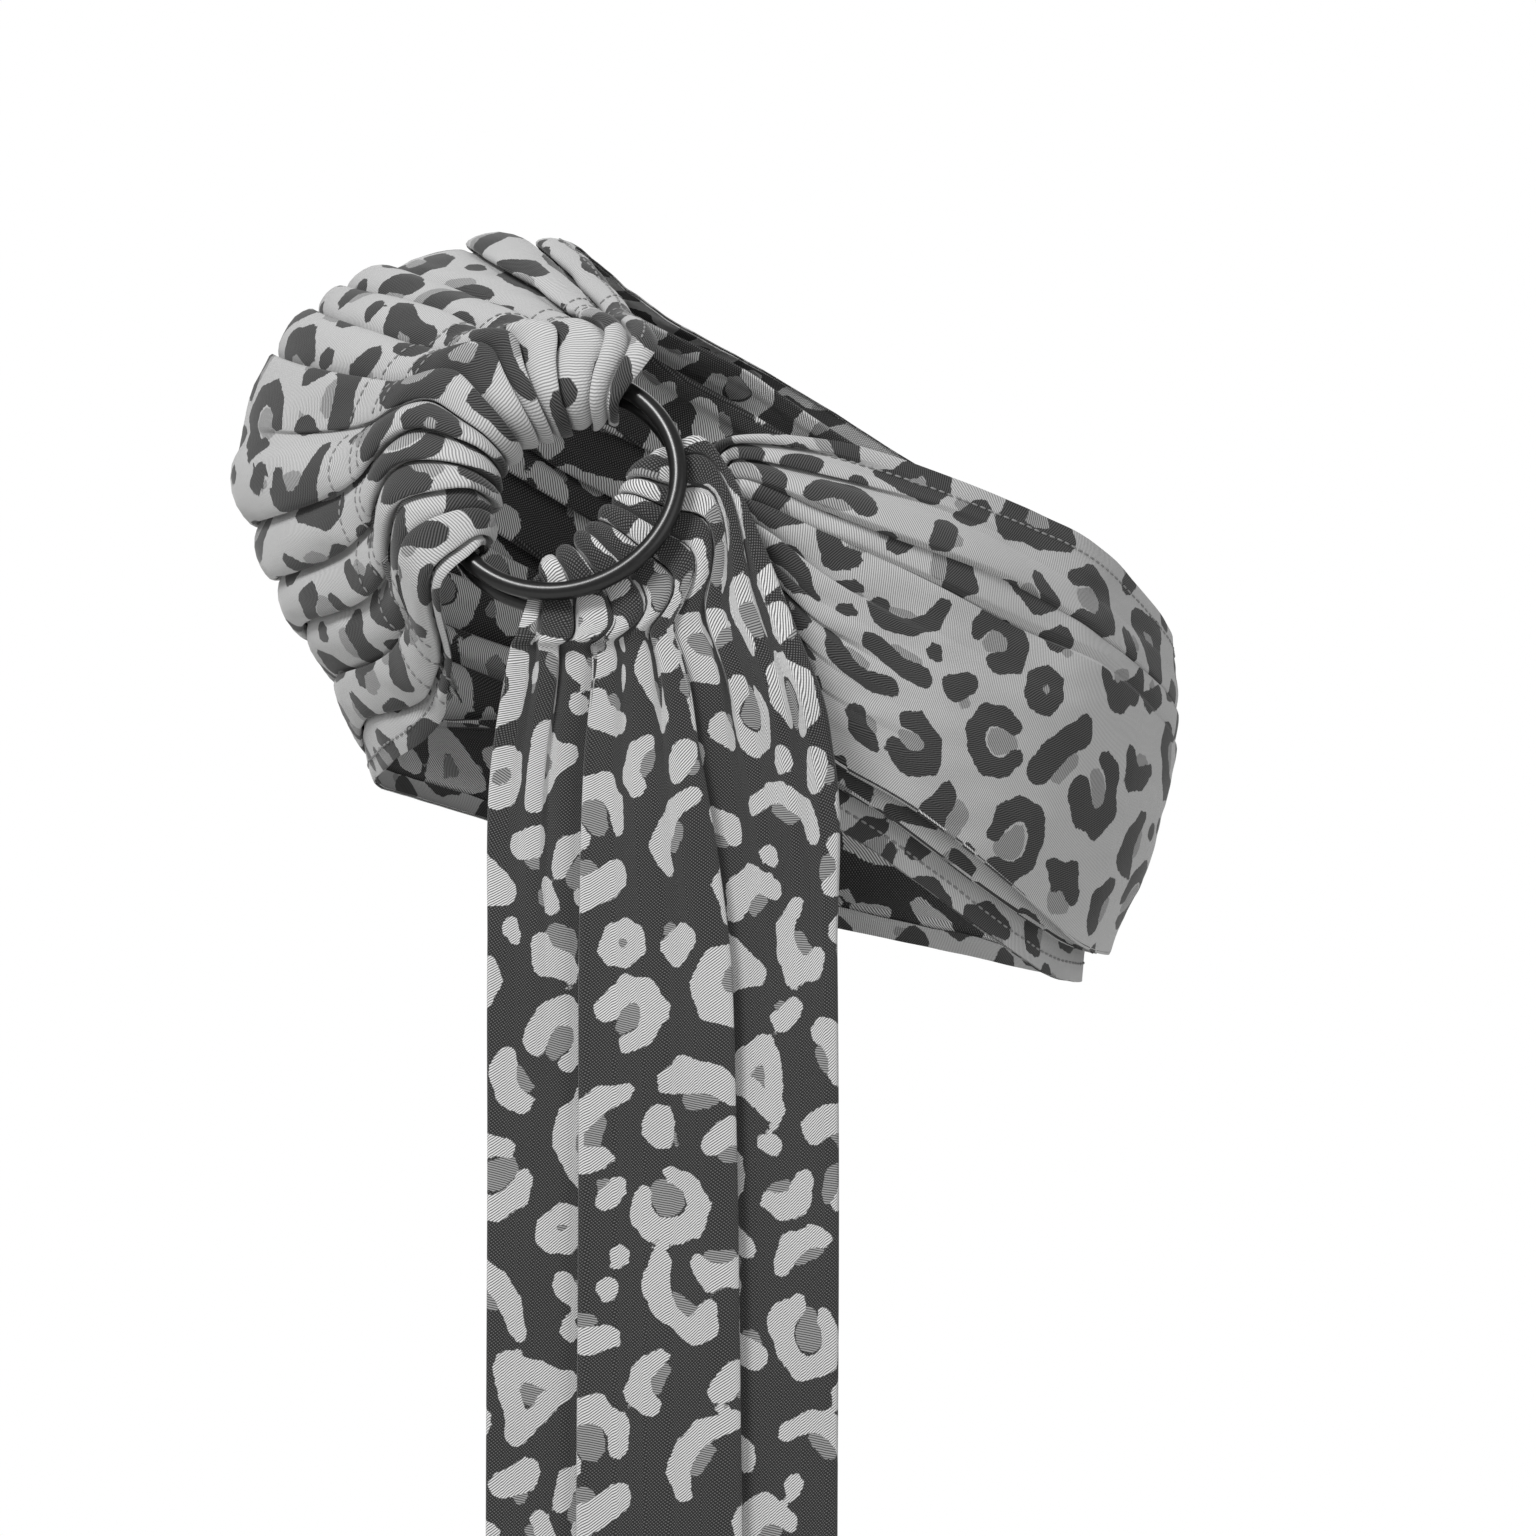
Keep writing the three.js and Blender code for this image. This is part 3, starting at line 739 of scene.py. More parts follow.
def shell_mesh(name, points, normals, flat, thickness):
    """A closed sheet: the grid of points, and the same grid moved back along its normals.

    The outer side has material 0 and the inner side material 1. Flat coordinates, in millimetres,
    become the UVs. The normals shade both sides, so two sheets that share a row meet smoothly.
    """
    rows, columns = points.shape[:2]
    outer = np.arange(rows * columns).reshape(rows, columns)
    inner = outer + rows * columns
    border = np.concatenate([outer[0, :-1], outer[:-1, -1], outer[-1, :0:-1], outer[:0:-1, 0]])
    ring = np.append(border, border[0])
    rims = np.stack([ring[:-1], ring[1:], ring[1:] + rows * columns, ring[:-1] + rows * columns], axis=-1)
    rims = rims[:, ::-1]
    front, back = quads(outer), quads(inner)[:, ::-1]
    turn = np.cross(np.diff(points, axis=1)[:-1], np.diff(points, axis=0)[:, :-1])
    if (turn * normals[:-1, :-1]).sum() < 0:
        front, back, rims = front[:, ::-1], back[:, ::-1], rims[:, ::-1]
    faces = np.concatenate([front, back, rims])
    both = np.concatenate([points.reshape(-1, 3), (points - normals * thickness).reshape(-1, 3)])
    mesh = bpy.data.meshes.new(name)
    mesh.from_pydata((both * METRE).tolist(), [], faces.tolist())
    mesh.polygons.foreach_set("use_smooth", np.ones(len(faces), bool))
    slots = np.zeros(len(faces), np.int32)
    slots[len(front) : len(front) + len(back)] = 1
    mesh.polygons.foreach_set("material_index", slots)
    double = np.concatenate([flat.reshape(-1, 2)] * 2)
    corners = np.empty(len(mesh.loops), np.int32)
    mesh.loops.foreach_get("vertex_index", corners)
    mesh.uv_layers.new(name="flat").data.foreach_set("uv", (double[corners] * METRE).ravel())
    for title, depth in zip(("spot_stroke", "spot_fill"), pattern_depths(flat.reshape(-1, 2))):
        values = np.concatenate([depth] * 2).astype(np.float32)
        mesh.attributes.new(title, "FLOAT", "POINT").data.foreach_set("value", values)
    shading = np.concatenate([normals.reshape(-1, 3), -normals.reshape(-1, 3)])
    mesh.normals_split_custom_set_from_vertices(shading.tolist())
    return mesh


def add_object(name, mesh, *materials):
    for material in materials:
        mesh.materials.append(material)
    return new_object(name, mesh)


def cloth_object(name, points, normals, flat, outer, inner, thickness=CLOTH_THICKNESS):
    return add_object(name, shell_mesh(name, points, normals, flat, thickness), outer, inner)


def along_path(points, step):
    """Places every step along a line of points: index and share of the way to the next point."""
    run = np.concatenate([[0], np.cumsum(np.linalg.norm(np.diff(points, axis=0), axis=1))])
    return np.interp(np.arange(0, run[-1], step), run, np.arange(len(points)))


STITCH_PITCH, STITCH_LENGTH, STITCH_RADIUS = 3.4, 2.4, 0.34
STITCH_SIDES = 6
STITCH_RISE = 0.12                 # above the cloth
STITCH_WIDTH = 1.3                 # how much wider than high
STITCH_RINGS = ((-0.5, 0.25), (-0.3, 0.95), (0.3, 0.95), (0.5, 0.25))  # place along it, size


def stitch_mesh(name, lines):
    """Sunk running stitches along lines, each a pair of arrays: points and normals."""
    corners, faces = [], []
    for points, normals in lines:
        starts = along_path(points, STITCH_PITCH)
        ahead = picked(points, np.minimum(starts + 0.5, len(points) - 1.01))
        behind = picked(points, np.maximum(starts - 0.5, 0.0))
        for spot, normal, step in zip(picked(points, starts), picked(normals, starts), ahead - behind):
            if np.linalg.norm(step) < 0.05:
                continue
            up, run = unit(normal), unit(step)
            side = np.cross(up, run)
            first = len(corners)
            for share, swell in STITCH_RINGS:
                middle = spot + run * share * STITCH_LENGTH
                for angle in np.arange(STITCH_SIDES) * math.tau / STITCH_SIDES:
                    out = side * math.cos(angle) * STITCH_WIDTH + up * math.sin(angle)
                    corners.append(middle + out * STITCH_RADIUS * swell + up * STITCH_RISE)
            for low in range(first, len(corners) - STITCH_SIDES, STITCH_SIDES):
                for turn in range(STITCH_SIDES):
                    a, b = low + turn, low + (turn + 1) % STITCH_SIDES
                    faces.append((a, b, b + STITCH_SIDES, a + STITCH_SIDES))
            faces.append(tuple(range(first + STITCH_SIDES - 1, first - 1, -1)))
            faces.append(tuple(range(len(corners) - STITCH_SIDES, len(corners))))
    mesh = bpy.data.meshes.new(name)
    mesh.from_pydata((np.array(corners) * METRE).tolist(), [], faces)
    mesh.polygons.foreach_set("use_smooth", np.ones(len(faces), bool))
    return mesh


def add_stitches(name, lines):
    stitches = add_object(name, stitch_mesh(name, lines), thread_material)
    return stitches


# ---- The worn loop ----
def under(points, depth):
    """A row of points moved towards the wearer's body, roughly behind the cap."""
    return points + np.array([0.32, 0.8, -0.5]) * depth


def snug(loose, tight):
    """A measure that goes from loose to tight at the sewn loop's two edges."""
    return lambda angle: loose + (tight - loose) * edge_share(abs(angle) / LOOP_ARC)


def edge_share(share):
    """0 over the loop's middle, rising to 1 at its edges."""
    return float(np.clip((share - 0.6) / 0.4, 0, 1))


def loop_row(share, offset, depth):
    """A row of the sewn loop; offset from the wire's circle and depth are (loose, tight) pairs."""
    radius = snug(RING_RADIUS + offset[0], RING_RADIUS + offset[1])
    return arc_row(front_ring_frame, 0, LOOP_ARC * share, radius, snug(*depth))


FLAP_DEPTH = 14                    # the folded-back end's distance under the cap
mid_cap = row((71, -65, -6), (41, -93, -11), (0, -96, -24), (-23, -95, -53), (-17, -100, -92),
              (8, -99, -136))
worn_rows = [
    under(mid_cap, FLAP_DEPTH),
    under(loop_row(0.8, (24, 24), (4, 4)), FLAP_DEPTH),
    loop_row(0.8, (6, 6), (-19, -16)),
    loop_row(0.9, (-9, -5), (-17, -13.5)),
    loop_row(0.97, (-17.5, -8.5), (-9, -7)),
    loop_row(1, (-18, -9), (1, 0)),
    loop_row(1, (-12, -7), (8.5, 5)),
    loop_row(1, (0, 0), (10.5, 7)),
    loop_row(1, (12, 12), (9, 6.5)),
    mid_cap,
    row((49, 0, 21), (18, -4, 24), (-40, -6, 3), (-71, -10, -44), (-58, -20, -97), (-16, -45, -165)),
    row((60, 38, 17), (18, 40, 14), (-28, 36, -12), (-50, 32, -55), (-42, 25, -110), (-24, 10, -172)),
    row((82, 66, 2), (50, 78, -12), (20, 82, -42), (2, 80, -85), (-2, 72, -135), (2, 58, -182)),
    row((118, 82, -18), (100, 97, -42), (80, 104, -75), (66, 106, -115), (58, 100, -158), (56, 88, -200)),
    row((168, 84, -48), (160, 98, -75), (150, 106, -105), (140, 107, -140), (132, 103, -180),
        (125, 95, -222)),
    row((222, 62, -85), (222, 72, -108), (218, 77, -133), (211, 77, -165), (203, 74, -200),
        (194, 70, -236)),
    row((266, 5, -119), (267, 5, -141), (265, 5, -170), (258, 5, -196), (247, 5, -225), (236, 5, -245)),
    row((239, -52, -90), (242, -58, -121), (241, -62, -149), (236, -62, -177), (229, -60, -209),
        (219, -55, -239)),
    row((188, -92, -66), (186, -100, -95), (182, -104, -123), (177, -106, -151), (170, -104, -182),
        (161, -100, -199)),
    row((142, -108, -52), (142, -114, -77), (140, -117, -101), (137, -118, -125), (132, -117, -149),
        (127, -114, -172)),
    row((108, -112, -51), (110, -116, -65), (110, -118, -79), (108, -118, -94), (102, -117, -110),
        (94, -116, -125)),
    threaded_arc(RING_RADIUS + 12, -8),
]
# Row numbers in worn_rows that fold settings refer to.
FLAP_END, LOOP_INNER, ON_WIRE, CAP_EDGE, MID_CAP, CREST, BLADE = 0, 5, 7, 8, 9, 10, 12
MID_BACK, LOW_BACK, SIDE, FRONT, FRONT_MID, FRONT_LEFT, BY_RINGS, BEHIND = 13, 15, 16, 17, 18, 19, 20, 21

WORN_STEPS = (4.4, 3.2)            # between mesh rows, and between the finer ones
worn_knots = knots_of(worn_rows)
worn_places = spaced_places(worn_knots, *WORN_STEPS, (LOOP_INNER - 1, CREST + 0.7), (FRONT - 0.3, BEHIND))
by_row = ramps(worn_knots, worn_places)

# The pleats over the shoulder, from the neck edge: place across at the crest, tuck depth at the
# ring, at mid cap and at the crest, and which side laps over the other (1 the neck side, -1 the arm
# side, 0 neither).
CAP_TUCKS = [
    (0.060, 7.0, 5.5, 2.6, 0.8), (0.150, 8.0, 7.5, 4.6, 1.0), (0.215, 5.0, 3.0, 0.6, -0.8),
    (0.290, 7.5, 8.0, 4.4, -1.0), (0.345, 5.0, 4.5, 1.2, -0.9), (0.420, 8.5, 8.5, 4.0, -1.2),
    (0.535, 5.0, 1.6, 0.2, 0.5), (0.655, 7.5, 6.0, 2.6, 1.0), (0.725, 5.5, 6.5, 3.8, 0.9),
    (0.800, 8.5, 8.0, 4.2, 1.1), (0.875, 6.0, 4.5, 3.0, -0.9), (0.945, 7.5, 5.5, 2.4, 1.0),
]
TUCK_COUNT = len(CAP_TUCKS)
# The same pleats on the front panel: place across, and depth at its right end, middle and left.
# The last two lie flat there, as the folded layers along its lower edge.
FRONT_TUCKS = [
    (0.045, 0.0, 0.0, 0.5), (0.105, 0.0, 0.3, 1.2), (0.215, 2.6, 5.4, 8.0), (0.285, 0.4, 1.6, 4.6),
    (0.400, 0.0, 0.2, 1.3), (0.480, 0.0, 0.0, 0.4), (0.555, 0.0, 0.0, 1.2), (0.630, 0.0, 0.0, 0.3),
    (0.705, 0.0, 0.0, 0.8), (0.780, 0.0, 0.0, 0.2), (0.870, 0.0, 0.0, 0.0), (0.925, 0.0, 0.0, 0.0),
]
PINCHED = 0.91                     # where the first laid fold meets the second, under the arm
RIDGES = {2: 1.0, 3: 0.45}         # the front pleats that stand out as ridges, and how far
FOLD_LENGTH = 76.0
LAYER = 4.6                        # from one of those folded layers to the next
LAP = 1.5                          # how far a lapping pleat stands over the next one
PRESSED = 8.0                      # a tuck that goes this far sideways lies flat


def tuck_tables():
    """For each tuck, arrays over worn_places of its place, tip, gap, levels and bulge."""
    random = np.random.default_rng(5)
    tables = []
    spacing = by_row(
        (FLAP_END, 9.0), (LOOP_INNER, 5.0), (CAP_EDGE, 9.5), (MID_CAP, 18.0),
        (CREST, 25.0), (MID_BACK, 20.0), (SIDE, 12.0), (FRONT_LEFT, 10.0), (BEHIND, 7.5),
    )
    relief = by_row(
        (FLAP_END, 0.10), (LOOP_INNER, 0.32), (ON_WIRE, 0.28), (CAP_EDGE, 0.26), (MID_CAP, 0.2),
        (CREST, 0.16), (MID_BACK, 0.12), (SIDE, 0.06), (FRONT_MID, 0.10), (FRONT_LEFT, 0.2), (BEHIND, 0.3),
    )
    under_lap = by_row(
        (FLAP_END, 2.0), (ON_WIRE, 3.0), (CAP_EDGE, 3.4), (MID_CAP, 5.5), (CREST, 9.5), (BLADE, 9.5),
        (MID_BACK, 8.5), (LOW_BACK, 7.0), (SIDE, 3.0), (FRONT_LEFT, 3.0), (BEHIND, 2.5),
    )
    for k, (crest_place, ring_depth, cap_depth, crest_depth, lap) in enumerate(CAP_TUCKS):
        front, right_depth, middle_depth, left_depth = FRONT_TUCKS[k]
        even = (k + 0.5 + random.uniform(-0.2, 0.2)) / TUCK_COUNT
        laid = k >= TUCK_COUNT - 2
        sway = 0.12 / TUCK_COUNT * np.sin(worn_places / random.uniform(16, 30) + random.uniform(0, 6))
        at_side = max(front, PINCHED) if laid else front
        place = sway + by_row(
            (FLAP_END, even), (ON_WIRE, even), (CREST, crest_place),
            (MID_BACK, even), (LOW_BACK, 0.4 * even + 0.6 * front), (SIDE, at_side), (FRONT, at_side),
            (FRONT_MID, front), (FRONT_LEFT, 0.75 * front + 0.25 * even),
            (BY_RINGS, 0.4 * front + 0.6 * even), (BEHIND, even),
        )
        swell = 1 + 0.25 * np.sin(worn_places / random.uniform(20, 40) + random.uniform(0, 6))
        room = 1 - 0.75 * edge_share(abs(2 * even - 1) + 0.1)
        depth = swell * by_row(
            (FLAP_END, 3.0), (FLAP_END + 1, 5.0), (LOOP_INNER - 2, 9.5 * room), (LOOP_INNER, 9.5 * room),
            (ON_WIRE, 0.85 * room * ring_depth), (CAP_EDGE, 1.15 * ring_depth), (MID_CAP, cap_depth),
            (CREST, crest_depth), (BLADE, 0.5 * crest_depth + 1.0), (MID_BACK, 2.2), (LOW_BACK, 1.4),
            (SIDE, right_depth), (FRONT, right_depth), (FRONT_MID, middle_depth),
            (FRONT_LEFT, left_depth), (BY_RINGS, 3.6 + 0.5 * left_depth), (BEHIND, 5.0),
        )
        length = by_row(
            (CREST, 0.0), (BLADE, 14.0), (MID_BACK, 34.0), (LOW_BACK, 62.0),
            (SIDE, FOLD_LENGTH), (FRONT_MID, FOLD_LENGTH), (FRONT_LEFT, 30.0), (BY_RINGS, 8.0),
            (BEHIND, 3.0),
        ) * laid
        ridge = RIDGES.get(k, 0) * by_row((SIDE, 0.0), (FRONT, 1.5), (FRONT_MID, 6.0), (FRONT_LEFT, 9.0),
                                          (BY_RINGS, 3.0), (BEHIND, 0.0))
        order = k - (TUCK_COUNT - 2) if laid else 0
        layered = by_row((BLADE, 0.0), (LOW_BACK, 1.0), (FRONT_MID, 1.0), (BEHIND, 0.3)) * laid
        before = -LAYER * order * layered
        after = -LAYER * (order + 1) * layered
        share = np.clip(depth / 5.0, 0, 1.1)
        lapped = lap * share * (1 - layered)
        slide = lap * np.clip(depth / 2.0, 0, 1) * (1 - layered) * under_lap
        pressed = np.clip(np.abs(slide) / PRESSED, 0, 1) * (1 - layered)
        laid_flat = layered + pressed
        tip_n = 0.5 * (before + after) - 0.5 * layered - depth * (1 - laid_flat) - 2.6 * pressed
        gap = np.clip(spacing * (0.16 + 0.5 * np.exp(-depth / 1.3)), 1.3, None) * (1 - pressed)
        gap -= 2.2 * np.abs(lapped) * (1 - pressed)
        gap = np.where(laid, np.minimum(gap, 2.0), gap)
        bulge = relief * spacing * np.clip(depth / 4.0, 0.0, 1.0)
        side_in, side_out = before - 2.5 * layered, before - 3.6 * layered
        first, second = np.where(lap > 0, -2.0, -3.2) * pressed, np.where(lap > 0, -3.2, -2.0) * pressed
        columns = {
            "place": place, "tip_w": -length - slide, "tip_n": tip_n, "gap": gap,
            "level": before + LAP * lapped + ridge, "next_level": after - LAP * lapped, "bulge": bulge,
            "laid": laid_flat, "side_in": side_in + first, "side_out": side_out + second,
        }
        tables.append({name: smoothed(column) for name, column in columns.items()})
    return tables


worn_tucks = tuck_tables()


def lift_with_ring(piece):
    """Bakes a piece's placement into its mesh."""
    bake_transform(piece)


def worn_section(j, spread, deepen):
    return section(spread, row_tucks(worn_tucks, j, spread), deepen)


crest_row = int(np.searchsorted(worn_places, worn_knots[CREST]))
worn = Cloth(worn_rows, worn_places, worn_section, PLEATED_WIDTH, crest_row, 1)
near_rings = by_row((FLAP_END, 0.4), (LOOP_INNER, 1.0), (MID_CAP, 1.0), (CREST, 0.6), (SIDE, 0.5),
                    (FRONT_MID, 0.6), (FRONT_LEFT, 1.0))
worn.crumple(32.0, 1.0, seed=3)
worn.crumple(12.0, 0.75 * near_rings, seed=4)
worn.crumple(5.0, 0.14, seed=5)
worn_points = worn.points
worn_facing = worn.facing(1)
worn_cloth = cloth_object("worn_cloth", worn_points, worn_facing, worn.flat, face_cloth, reverse_cloth)
lift_with_ring(worn_cloth)
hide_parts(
    "shoulder_cap", "shoulder_blade_panel", "back_panel", "side_panel", "front_panel",
    "side_inner_fold", "front_inner_fold", "front_gather", "ring_loop", "shoulder_end_flap",
)

# ---- Hems and stitching of the worn loop ----
HEM_STEPS = 7
HEM_THICKNESS = 0.8
HEM_GAP = 0.15                     # between the cloth and the hem on its reverse side
HEM_LINE = 6.6                     # the stitches' distance from the edge


def from_edge(j, distances, arm):
    """Points and normals of row j at arc distances from its neck edge, or its arm edge."""
    points, normals = worn_points[j], worn_facing[j]
    if arm:
        points, normals = points[::-1], normals[::-1]
    run = np.concatenate([[0], np.cumsum(np.linalg.norm(np.diff(points, axis=0), axis=1))])
    places = np.interp(distances, run, np.arange(len(points)))
    return picked(points, places), picked(normals, places)


def row_of(number):
    return int(np.argmin(np.abs(worn_places - distance_at(worn_knots, number))))


hem_rows = range(row_of(CAP_EDGE + 0.1), row_of(BY_RINGS))


def add_hem(name, arm, *nodes):
    """A folded band on the reverse side along one edge."""
    distances = np.linspace(0, HEM_WIDTH, HEM_STEPS)
    points, normals = [], []
    for j in hem_rows:
        spots, facing = from_edge(j, distances, arm)
        points.append(spots - facing * (CLOTH_THICKNESS + HEM_GAP))
        normals.append(facing)
    points, normals = np.array(points), np.array(normals)
    flat = np.stack(np.meshgrid(distances, worn_places[list(hem_rows)]), axis=-1)
    hem = cloth_object(name, points, normals, flat, face_cloth, face_cloth, HEM_THICKNESS)
    lift_with_ring(hem)
    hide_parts(*nodes)
    return hem


def showing(points, facing, first, pleats):
    """A row's showing parts, pleat by pleat, from column first."""
    period = BULGE_STEPS + 2 * TUCK_STEPS
    spans = [slice(first + k * period, first + k * period + BULGE_STEPS + 1) for k in range(pleats)]
    return [(points[span], facing[span]) for span in spans]


PARTS = ("shoulder", "shoulder_blade", "back", "side", "front")
neck_hem = add_hem("neck_edge_hem", False, *[f"{part}_neck_hem" for part in PARTS])
arm_hem = add_hem("arm_edge_hem", True, *[f"{part}_arm_hem" for part in PARTS])


def edge_line(arm):
    found = [from_edge(j, np.array([HEM_LINE]), arm) for j in hem_rows]
    return np.array([item[0][0] for item in found]), np.array([item[1][0] for item in found])


lift_with_ring(add_stitches("edge_stitches", [edge_line(False), edge_line(True)]))
STITCH_ROWS = (CAP_EDGE + 0.82, CAP_EDGE + 0.98, CAP_EDGE + 1.14)
for number, place in enumerate(STITCH_ROWS, 1):
    j = row_of(place)
    lines = showing(worn_points[j], worn_facing[j], 0, TUCK_COUNT + 1)
    stitches = add_stitches(f"loop_stitches_{number}", lines)
    lift_with_ring(stitches)
    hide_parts(f"loop_stitch_row_{number}")

# ---- The threaded cloth and the tail ----
NECK_Y = -137.0                    # the middle of the cloth just below the rings
NECK_BEND = (-0.114, -0.149)       # heights of the cloth's neck, just below the rings
PULL_STRETCH = (-0.48, -0.82)      # heights along the tail's lower half
TAIL_PATTERN_START = 700.0         # sets the tail's pattern off from the worn cloth's
NARROWEST = 15.0                   # from the ring's centre to the threaded cloth, at its middle


def chord(angle):
    return min(NARROWEST / math.cos(angle * 0.97), RING_RADIUS - 7)


def between_wire_and_chord(share):
    return lambda angle: RING_RADIUS + (chord(angle) - RING_RADIUS) * share


tail_rows = [
    threaded_arc(RING_RADIUS + 15, -8),
    threaded_arc(RING_RADIUS + 2, -9.5),
    threaded_arc(between_wire_and_chord(0.6), -8),
    threaded_arc(chord, 0),
    threaded_arc(between_wire_and_chord(0.62), 8),
    threaded_arc(RING_RADIUS - 2, 7.4),
    threaded_arc(RING_RADIUS + 9, 6.4),
    level_row(-128, 30, 133, NECK_Y),
    level_row(-163, 24, 142),
    level_row(-230, 22.5, 143),
    level_row(-300, 22.5, 143.5),
    level_row(-430, 22, 143),
    level_row(-640, 22, 143),
    level_row(TAIL_END_Z, 22, 143),
]
T_START, T_HOLE, T_WIRE, T_BELOW, T_NECK, T_FULL, T_LOW, T_END = 0, 3, 5, 6, 7, 8, 9, 13
TAIL_STEPS = (4.0, 2.8)
tail_knots = knots_of(tail_rows)


tail_places = spaced_places(tail_knots, *TAIL_STEPS, (T_START, T_LOW))
by_tail = ramps(tail_knots, tail_places)

# Tucks from the neck edge (right) to the arm edge (left). Two of them become the tail's knife folds,
# whose edge and hidden tip have an x at the neck, the tail's top, a little lower and the end.
RIGHT_CREASE = {"edge": (90, 97, 108, 119), "tip": (80, 80, 84, 86)}
LEFT_CREASE = {"edge": (58, 55, 53, 51), "tip": (68, 73, 76, 78)}
RIGHT_X, LEFT_X = (133, 142, 143, 143), (30, 24, 22.5, 22)
THREADED_PLEATS = 9
RIGHT_TUCK, LEFT_TUCK = 3, 6
LIFT = 4.8                         # the centre strip above the two side strips
# How deep the plain pleats are just below the ring and at the tail's top.
FADING = (0.8, 0.3, 1.6, 0, 1.6, 0.6, 0, 2.2, 1.0)
# How deep each pleat is inside the rings, as a share of the deepest.
GATHERED = (1.0, 0.3, 1.0, 0.35, 1.0, 0.2, 0.9, 0.3, 1.0)


def tail_places_of(k):
    """A tuck's place, as shares of the width, at the neck, the tail's top, lower down and the end."""
    def share(x):
        return [(r - item) / (r - l) for item, r, l in zip(x, RIGHT_X, LEFT_X)]

    right, left = share(RIGHT_CREASE["edge"]), share(LEFT_CREASE["edge"])
    if k < RIGHT_TUCK:
        low, high, part = [0] * 4, right, (k + 1) / (RIGHT_TUCK + 1)
    elif k == RIGHT_TUCK:
        return right
    elif k < LEFT_TUCK:
        low, high, part = right, left, (k - RIGHT_TUCK) / (LEFT_TUCK - RIGHT_TUCK)
    elif k == LEFT_TUCK:
        return left
    else:
        low, high, part = left, [1] * 4, (k - LEFT_TUCK) / (THREADED_PLEATS - LEFT_TUCK)
    return [a + (b - a) * part for a, b in zip(low, high)]


def tail_tables():
    tables = []
    random = np.random.default_rng(8)
    spacing = by_tail((T_START, 8.0), (T_HOLE, 7.5), (T_WIRE, 9.5), (T_NECK, 11.0), (T_END, 12.0))
    lift = by_tail((T_BELOW, 0.0), (T_NECK, 0.35 * LIFT), (T_FULL, LIFT), (T_END, LIFT))
    laid_share = by_tail((T_BELOW, 0.0), (T_NECK, 0.6), (T_FULL, 1.0), (T_END, 1.0))
    relief = by_tail((T_START, 2.5), (T_HOLE, 3.2), (T_HOLE + 1, 2.2), (T_WIRE, 0.9),
                     (T_BELOW, 0.8), (T_NECK, 0.5), (T_FULL, 0.3), (T_LOW, 0.1), (T_END, 0.0))
    for k in range(THREADED_PLEATS):
        places = tail_places_of(k)
        crease = {RIGHT_TUCK: RIGHT_CREASE, LEFT_TUCK: LEFT_CREASE}.get(k)
        even = (k + 0.6) / (THREADED_PLEATS + 0.2) + random.uniform(-0.025, 0.025)
        reach = [edge - tip for edge, tip in zip(crease["edge"], crease["tip"])] if crease else [0] * 4
        place = by_tail((T_START, even), (T_WIRE, even), (T_BELOW, 0.7 * even + 0.3 * places[0]),
                        (T_NECK, places[0]), (T_FULL, places[1]), (T_LOW, places[2]), (T_END, places[3]))
        slide = by_tail((T_START, 0), (T_BELOW, 0.3 * reach[0]), (T_NECK, reach[0]),
                        (T_FULL, reach[1]), (T_LOW, reach[2]), (T_END, reach[3]))
        side = random.choice((-1, 1))
        fade = FADING[k]
        gathered = by_tail((T_START, 1.0), (T_HOLE - 1, GATHERED[k]), (T_WIRE, GATHERED[k]),
                           (T_BELOW, 0.5 + 0.5 * GATHERED[k]), (T_NECK, 1.0))
        swell = 0.9 * relief * (1 - gathered)
        depth = gathered * by_tail((T_START, 8.0), (T_HOLE, 12.5), (T_HOLE + 1, 10.0), (T_WIRE, 4.4),
                        (T_BELOW, 1.0 + 0.9 * fade), (T_NECK, fade), (T_FULL, 0.45 * fade),
                        (T_LOW, 0.12 * fade), (T_LOW + 1, 0.0), (T_END, 0.0))
        share = np.clip(depth / 5.0, 0, 1)
        before = swell + (lift if RIGHT_TUCK < k <= LEFT_TUCK else 0 * lift)
        after = swell + (lift if RIGHT_TUCK <= k < LEFT_TUCK else 0 * lift)
        gap = np.clip(spacing * (0.14 + 0.5 * np.exp(-depth / 1.2)), 1.2, None)
        gap -= 1.6 * share * (1 - laid_share)
        if crease:
            gap = by_tail((T_START, 1.4), (T_BELOW, 1.2), (T_NECK, 0.6), (T_END, 0.4))
        laid = laid_share if crease else 0 * lift
        lap = side * share * (1 - laid)
        first_level = 0.15 * LIFT * laid if k == RIGHT_TUCK else 0.42 * LIFT * laid
        second_level = 0.42 * LIFT * laid if k == RIGHT_TUCK else 0.15 * LIFT * laid
        columns = {
            "place": place, "tip_w": slide - 2.4 * lap,
            "tip_n": 0.5 * (first_level + second_level) - depth * (1 - laid), "gap": gap,
            "level": before + 1.0 * lap, "next_level": after - 1.0 * lap,
            "bulge": relief * random.uniform(0.5, 1.2) * (0.6 if k < RIGHT_TUCK else 1.0),
            "laid": laid, "side_in": first_level, "side_out": second_level,
        }
        if not crease:
            columns["tip_n"] = before - depth
        tables.append({name: smoothed(column) for name, column in columns.items()})
    return tables


tail_tucks = tail_tables()
hidden_reach = smoothed(by_tail(
    (T_START, 2.0), (T_BELOW, 4.0), (T_NECK, 40.0), (T_FULL, 85.0), (T_LOW, 113.0), (T_END, 115.0)))
hidden_depth = smoothed(by_tail(
    (T_START, -0.6), (T_BELOW, -1.2), (T_NECK, -3.0), (T_FULL, -3.6), (T_END, -3.6)))


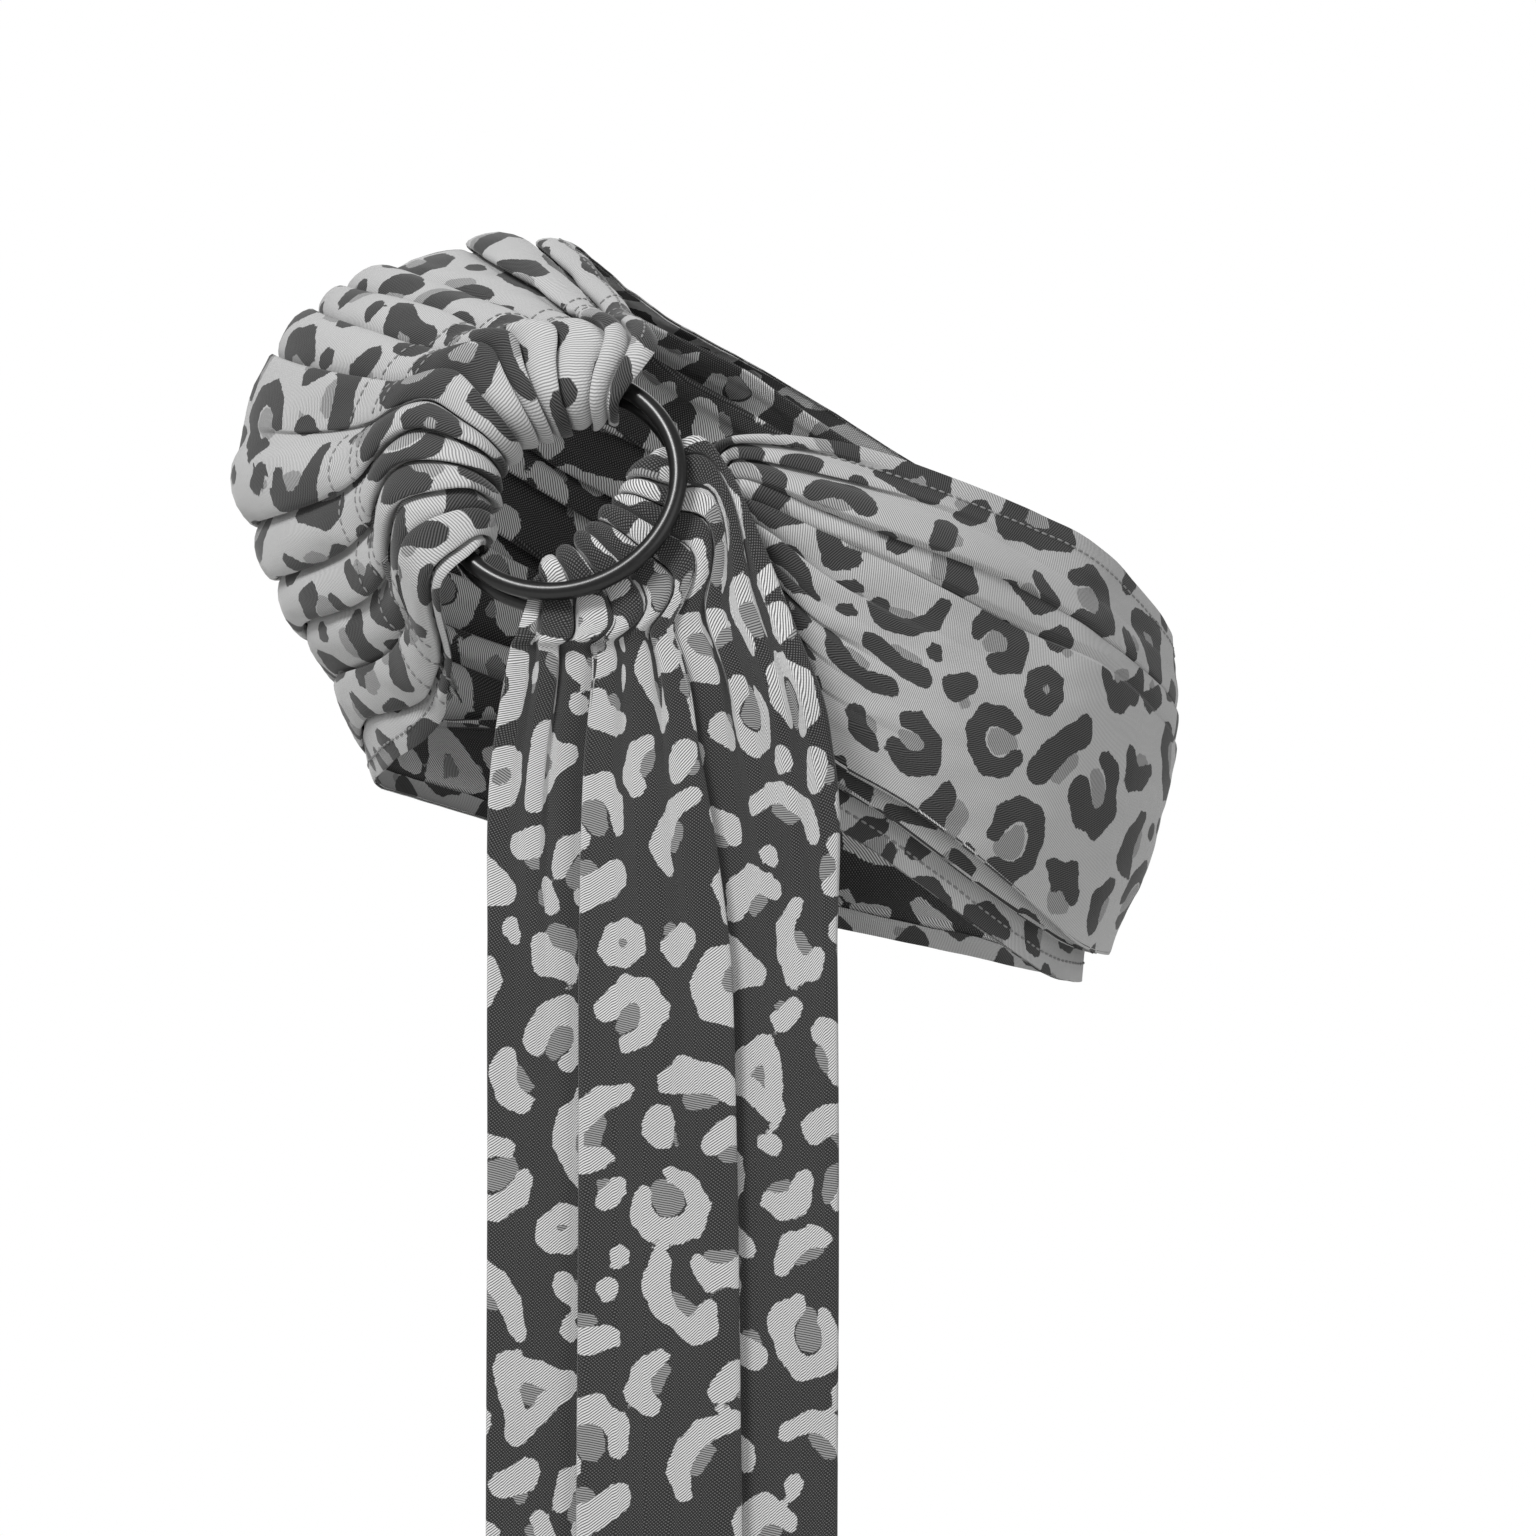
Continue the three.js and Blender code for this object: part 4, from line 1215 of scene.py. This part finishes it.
def tail_section(j, spread, deepen):
    reach = min(hidden_reach[j], spread - 6)
    neck_return = (reach, hidden_depth[j] - 2.0)
    arm_return = (spread - reach + 4, hidden_depth[j])
    return section(spread, row_tucks(tail_tucks, j, spread), deepen, neck_return, arm_return)


neck_row = int(np.searchsorted(tail_places, tail_knots[T_FULL]))
tail = Cloth(tail_rows, tail_places, tail_section, PLEATED_WIDTH, neck_row, -1)
tail_flat = tail.flat + np.array([0.0, TAIL_PATTERN_START])
tail.crumple(38.0, by_tail((T_START, 0.8), (T_BELOW, 0.8), (T_LOW, 0.7), (T_END, 0.9)), seed=7)
tail.crumple(13.0, by_tail((T_START, 0.5), (T_BELOW, 0.4), (T_LOW, 0.12), (T_END, 0.1)), seed=9)
tail_points = tail.points
tail_facing = tail.facing(-1)
tail_heights = tail_points[:, :, 2].mean(axis=1)
split = int(np.argmin(np.abs(tail_heights - TAIL_SPLIT_Z)))


def tail_part(name, rows_kept):
    arrays = [array[rows_kept] for array in (tail_points, tail_facing, tail_flat)]
    return cloth_object(name, *arrays, reverse_cloth, face_cloth)


threaded_cloth = tail_part("threaded_cloth", slice(0, split + 1))
tail_cloth = tail_part("tail_cloth", slice(split, None))
for piece, first, second, heights in (
    (threaded_cloth, "root", "tail_top", NECK_BEND), (tail_cloth, "tail_top", "tail_end", PULL_STRETCH),
):
    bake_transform(piece)
hem_row = int(np.argmin(np.abs(tail_heights - TAIL_END_Z - TAIL_HEM_HEIGHT)))
end_lines = showing(tail_points[hem_row], tail_facing[hem_row], RETURN_STEPS + 1, THREADED_PLEATS + 1)
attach(add_stitches("tail_end_stitches", end_lines), "tail_end")
FOLDS = ("back_fold", "left_fold", "right_fold", "center_fold")
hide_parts("tail_wrap", "tail_neck", *[f"tail_upper_{fold}" for fold in FOLDS])
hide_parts(*[f"tail_{part}_{fold}" for part in ("lower", "end_hem") for fold in FOLDS])


# ---- Rings ----
RING_SEGMENTS = (160, 32)          # round the ring and round its wire


def add_ring(node, ring, body):
    bpy.ops.mesh.primitive_torus_add(
        major_radius=RING_RADIUS * METRE, minor_radius=WIRE_RADIUS * METRE,
        major_segments=RING_SEGMENTS[0], minor_segments=RING_SEGMENTS[1],
    )
    obj = bpy.context.object
    obj.name = f"{node}_metal"
    turn = np.eye(4)
    turn[:3, 0], turn[:3, 1], turn[:3, 2] = ring.loop, ring.side, ring.out
    turn[:3, 3] = ring.centre * METRE
    obj.data.transform(Matrix(turn.tolist()))
    obj.data.polygons.foreach_set("use_smooth", [True] * len(obj.data.polygons))
    obj.data.materials.append(ring_metal)
    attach(obj, body)
    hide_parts(node)


add_ring("front_ring", front_ring_frame, "front_ring")
add_ring("back_ring", back_ring_frame, "root")
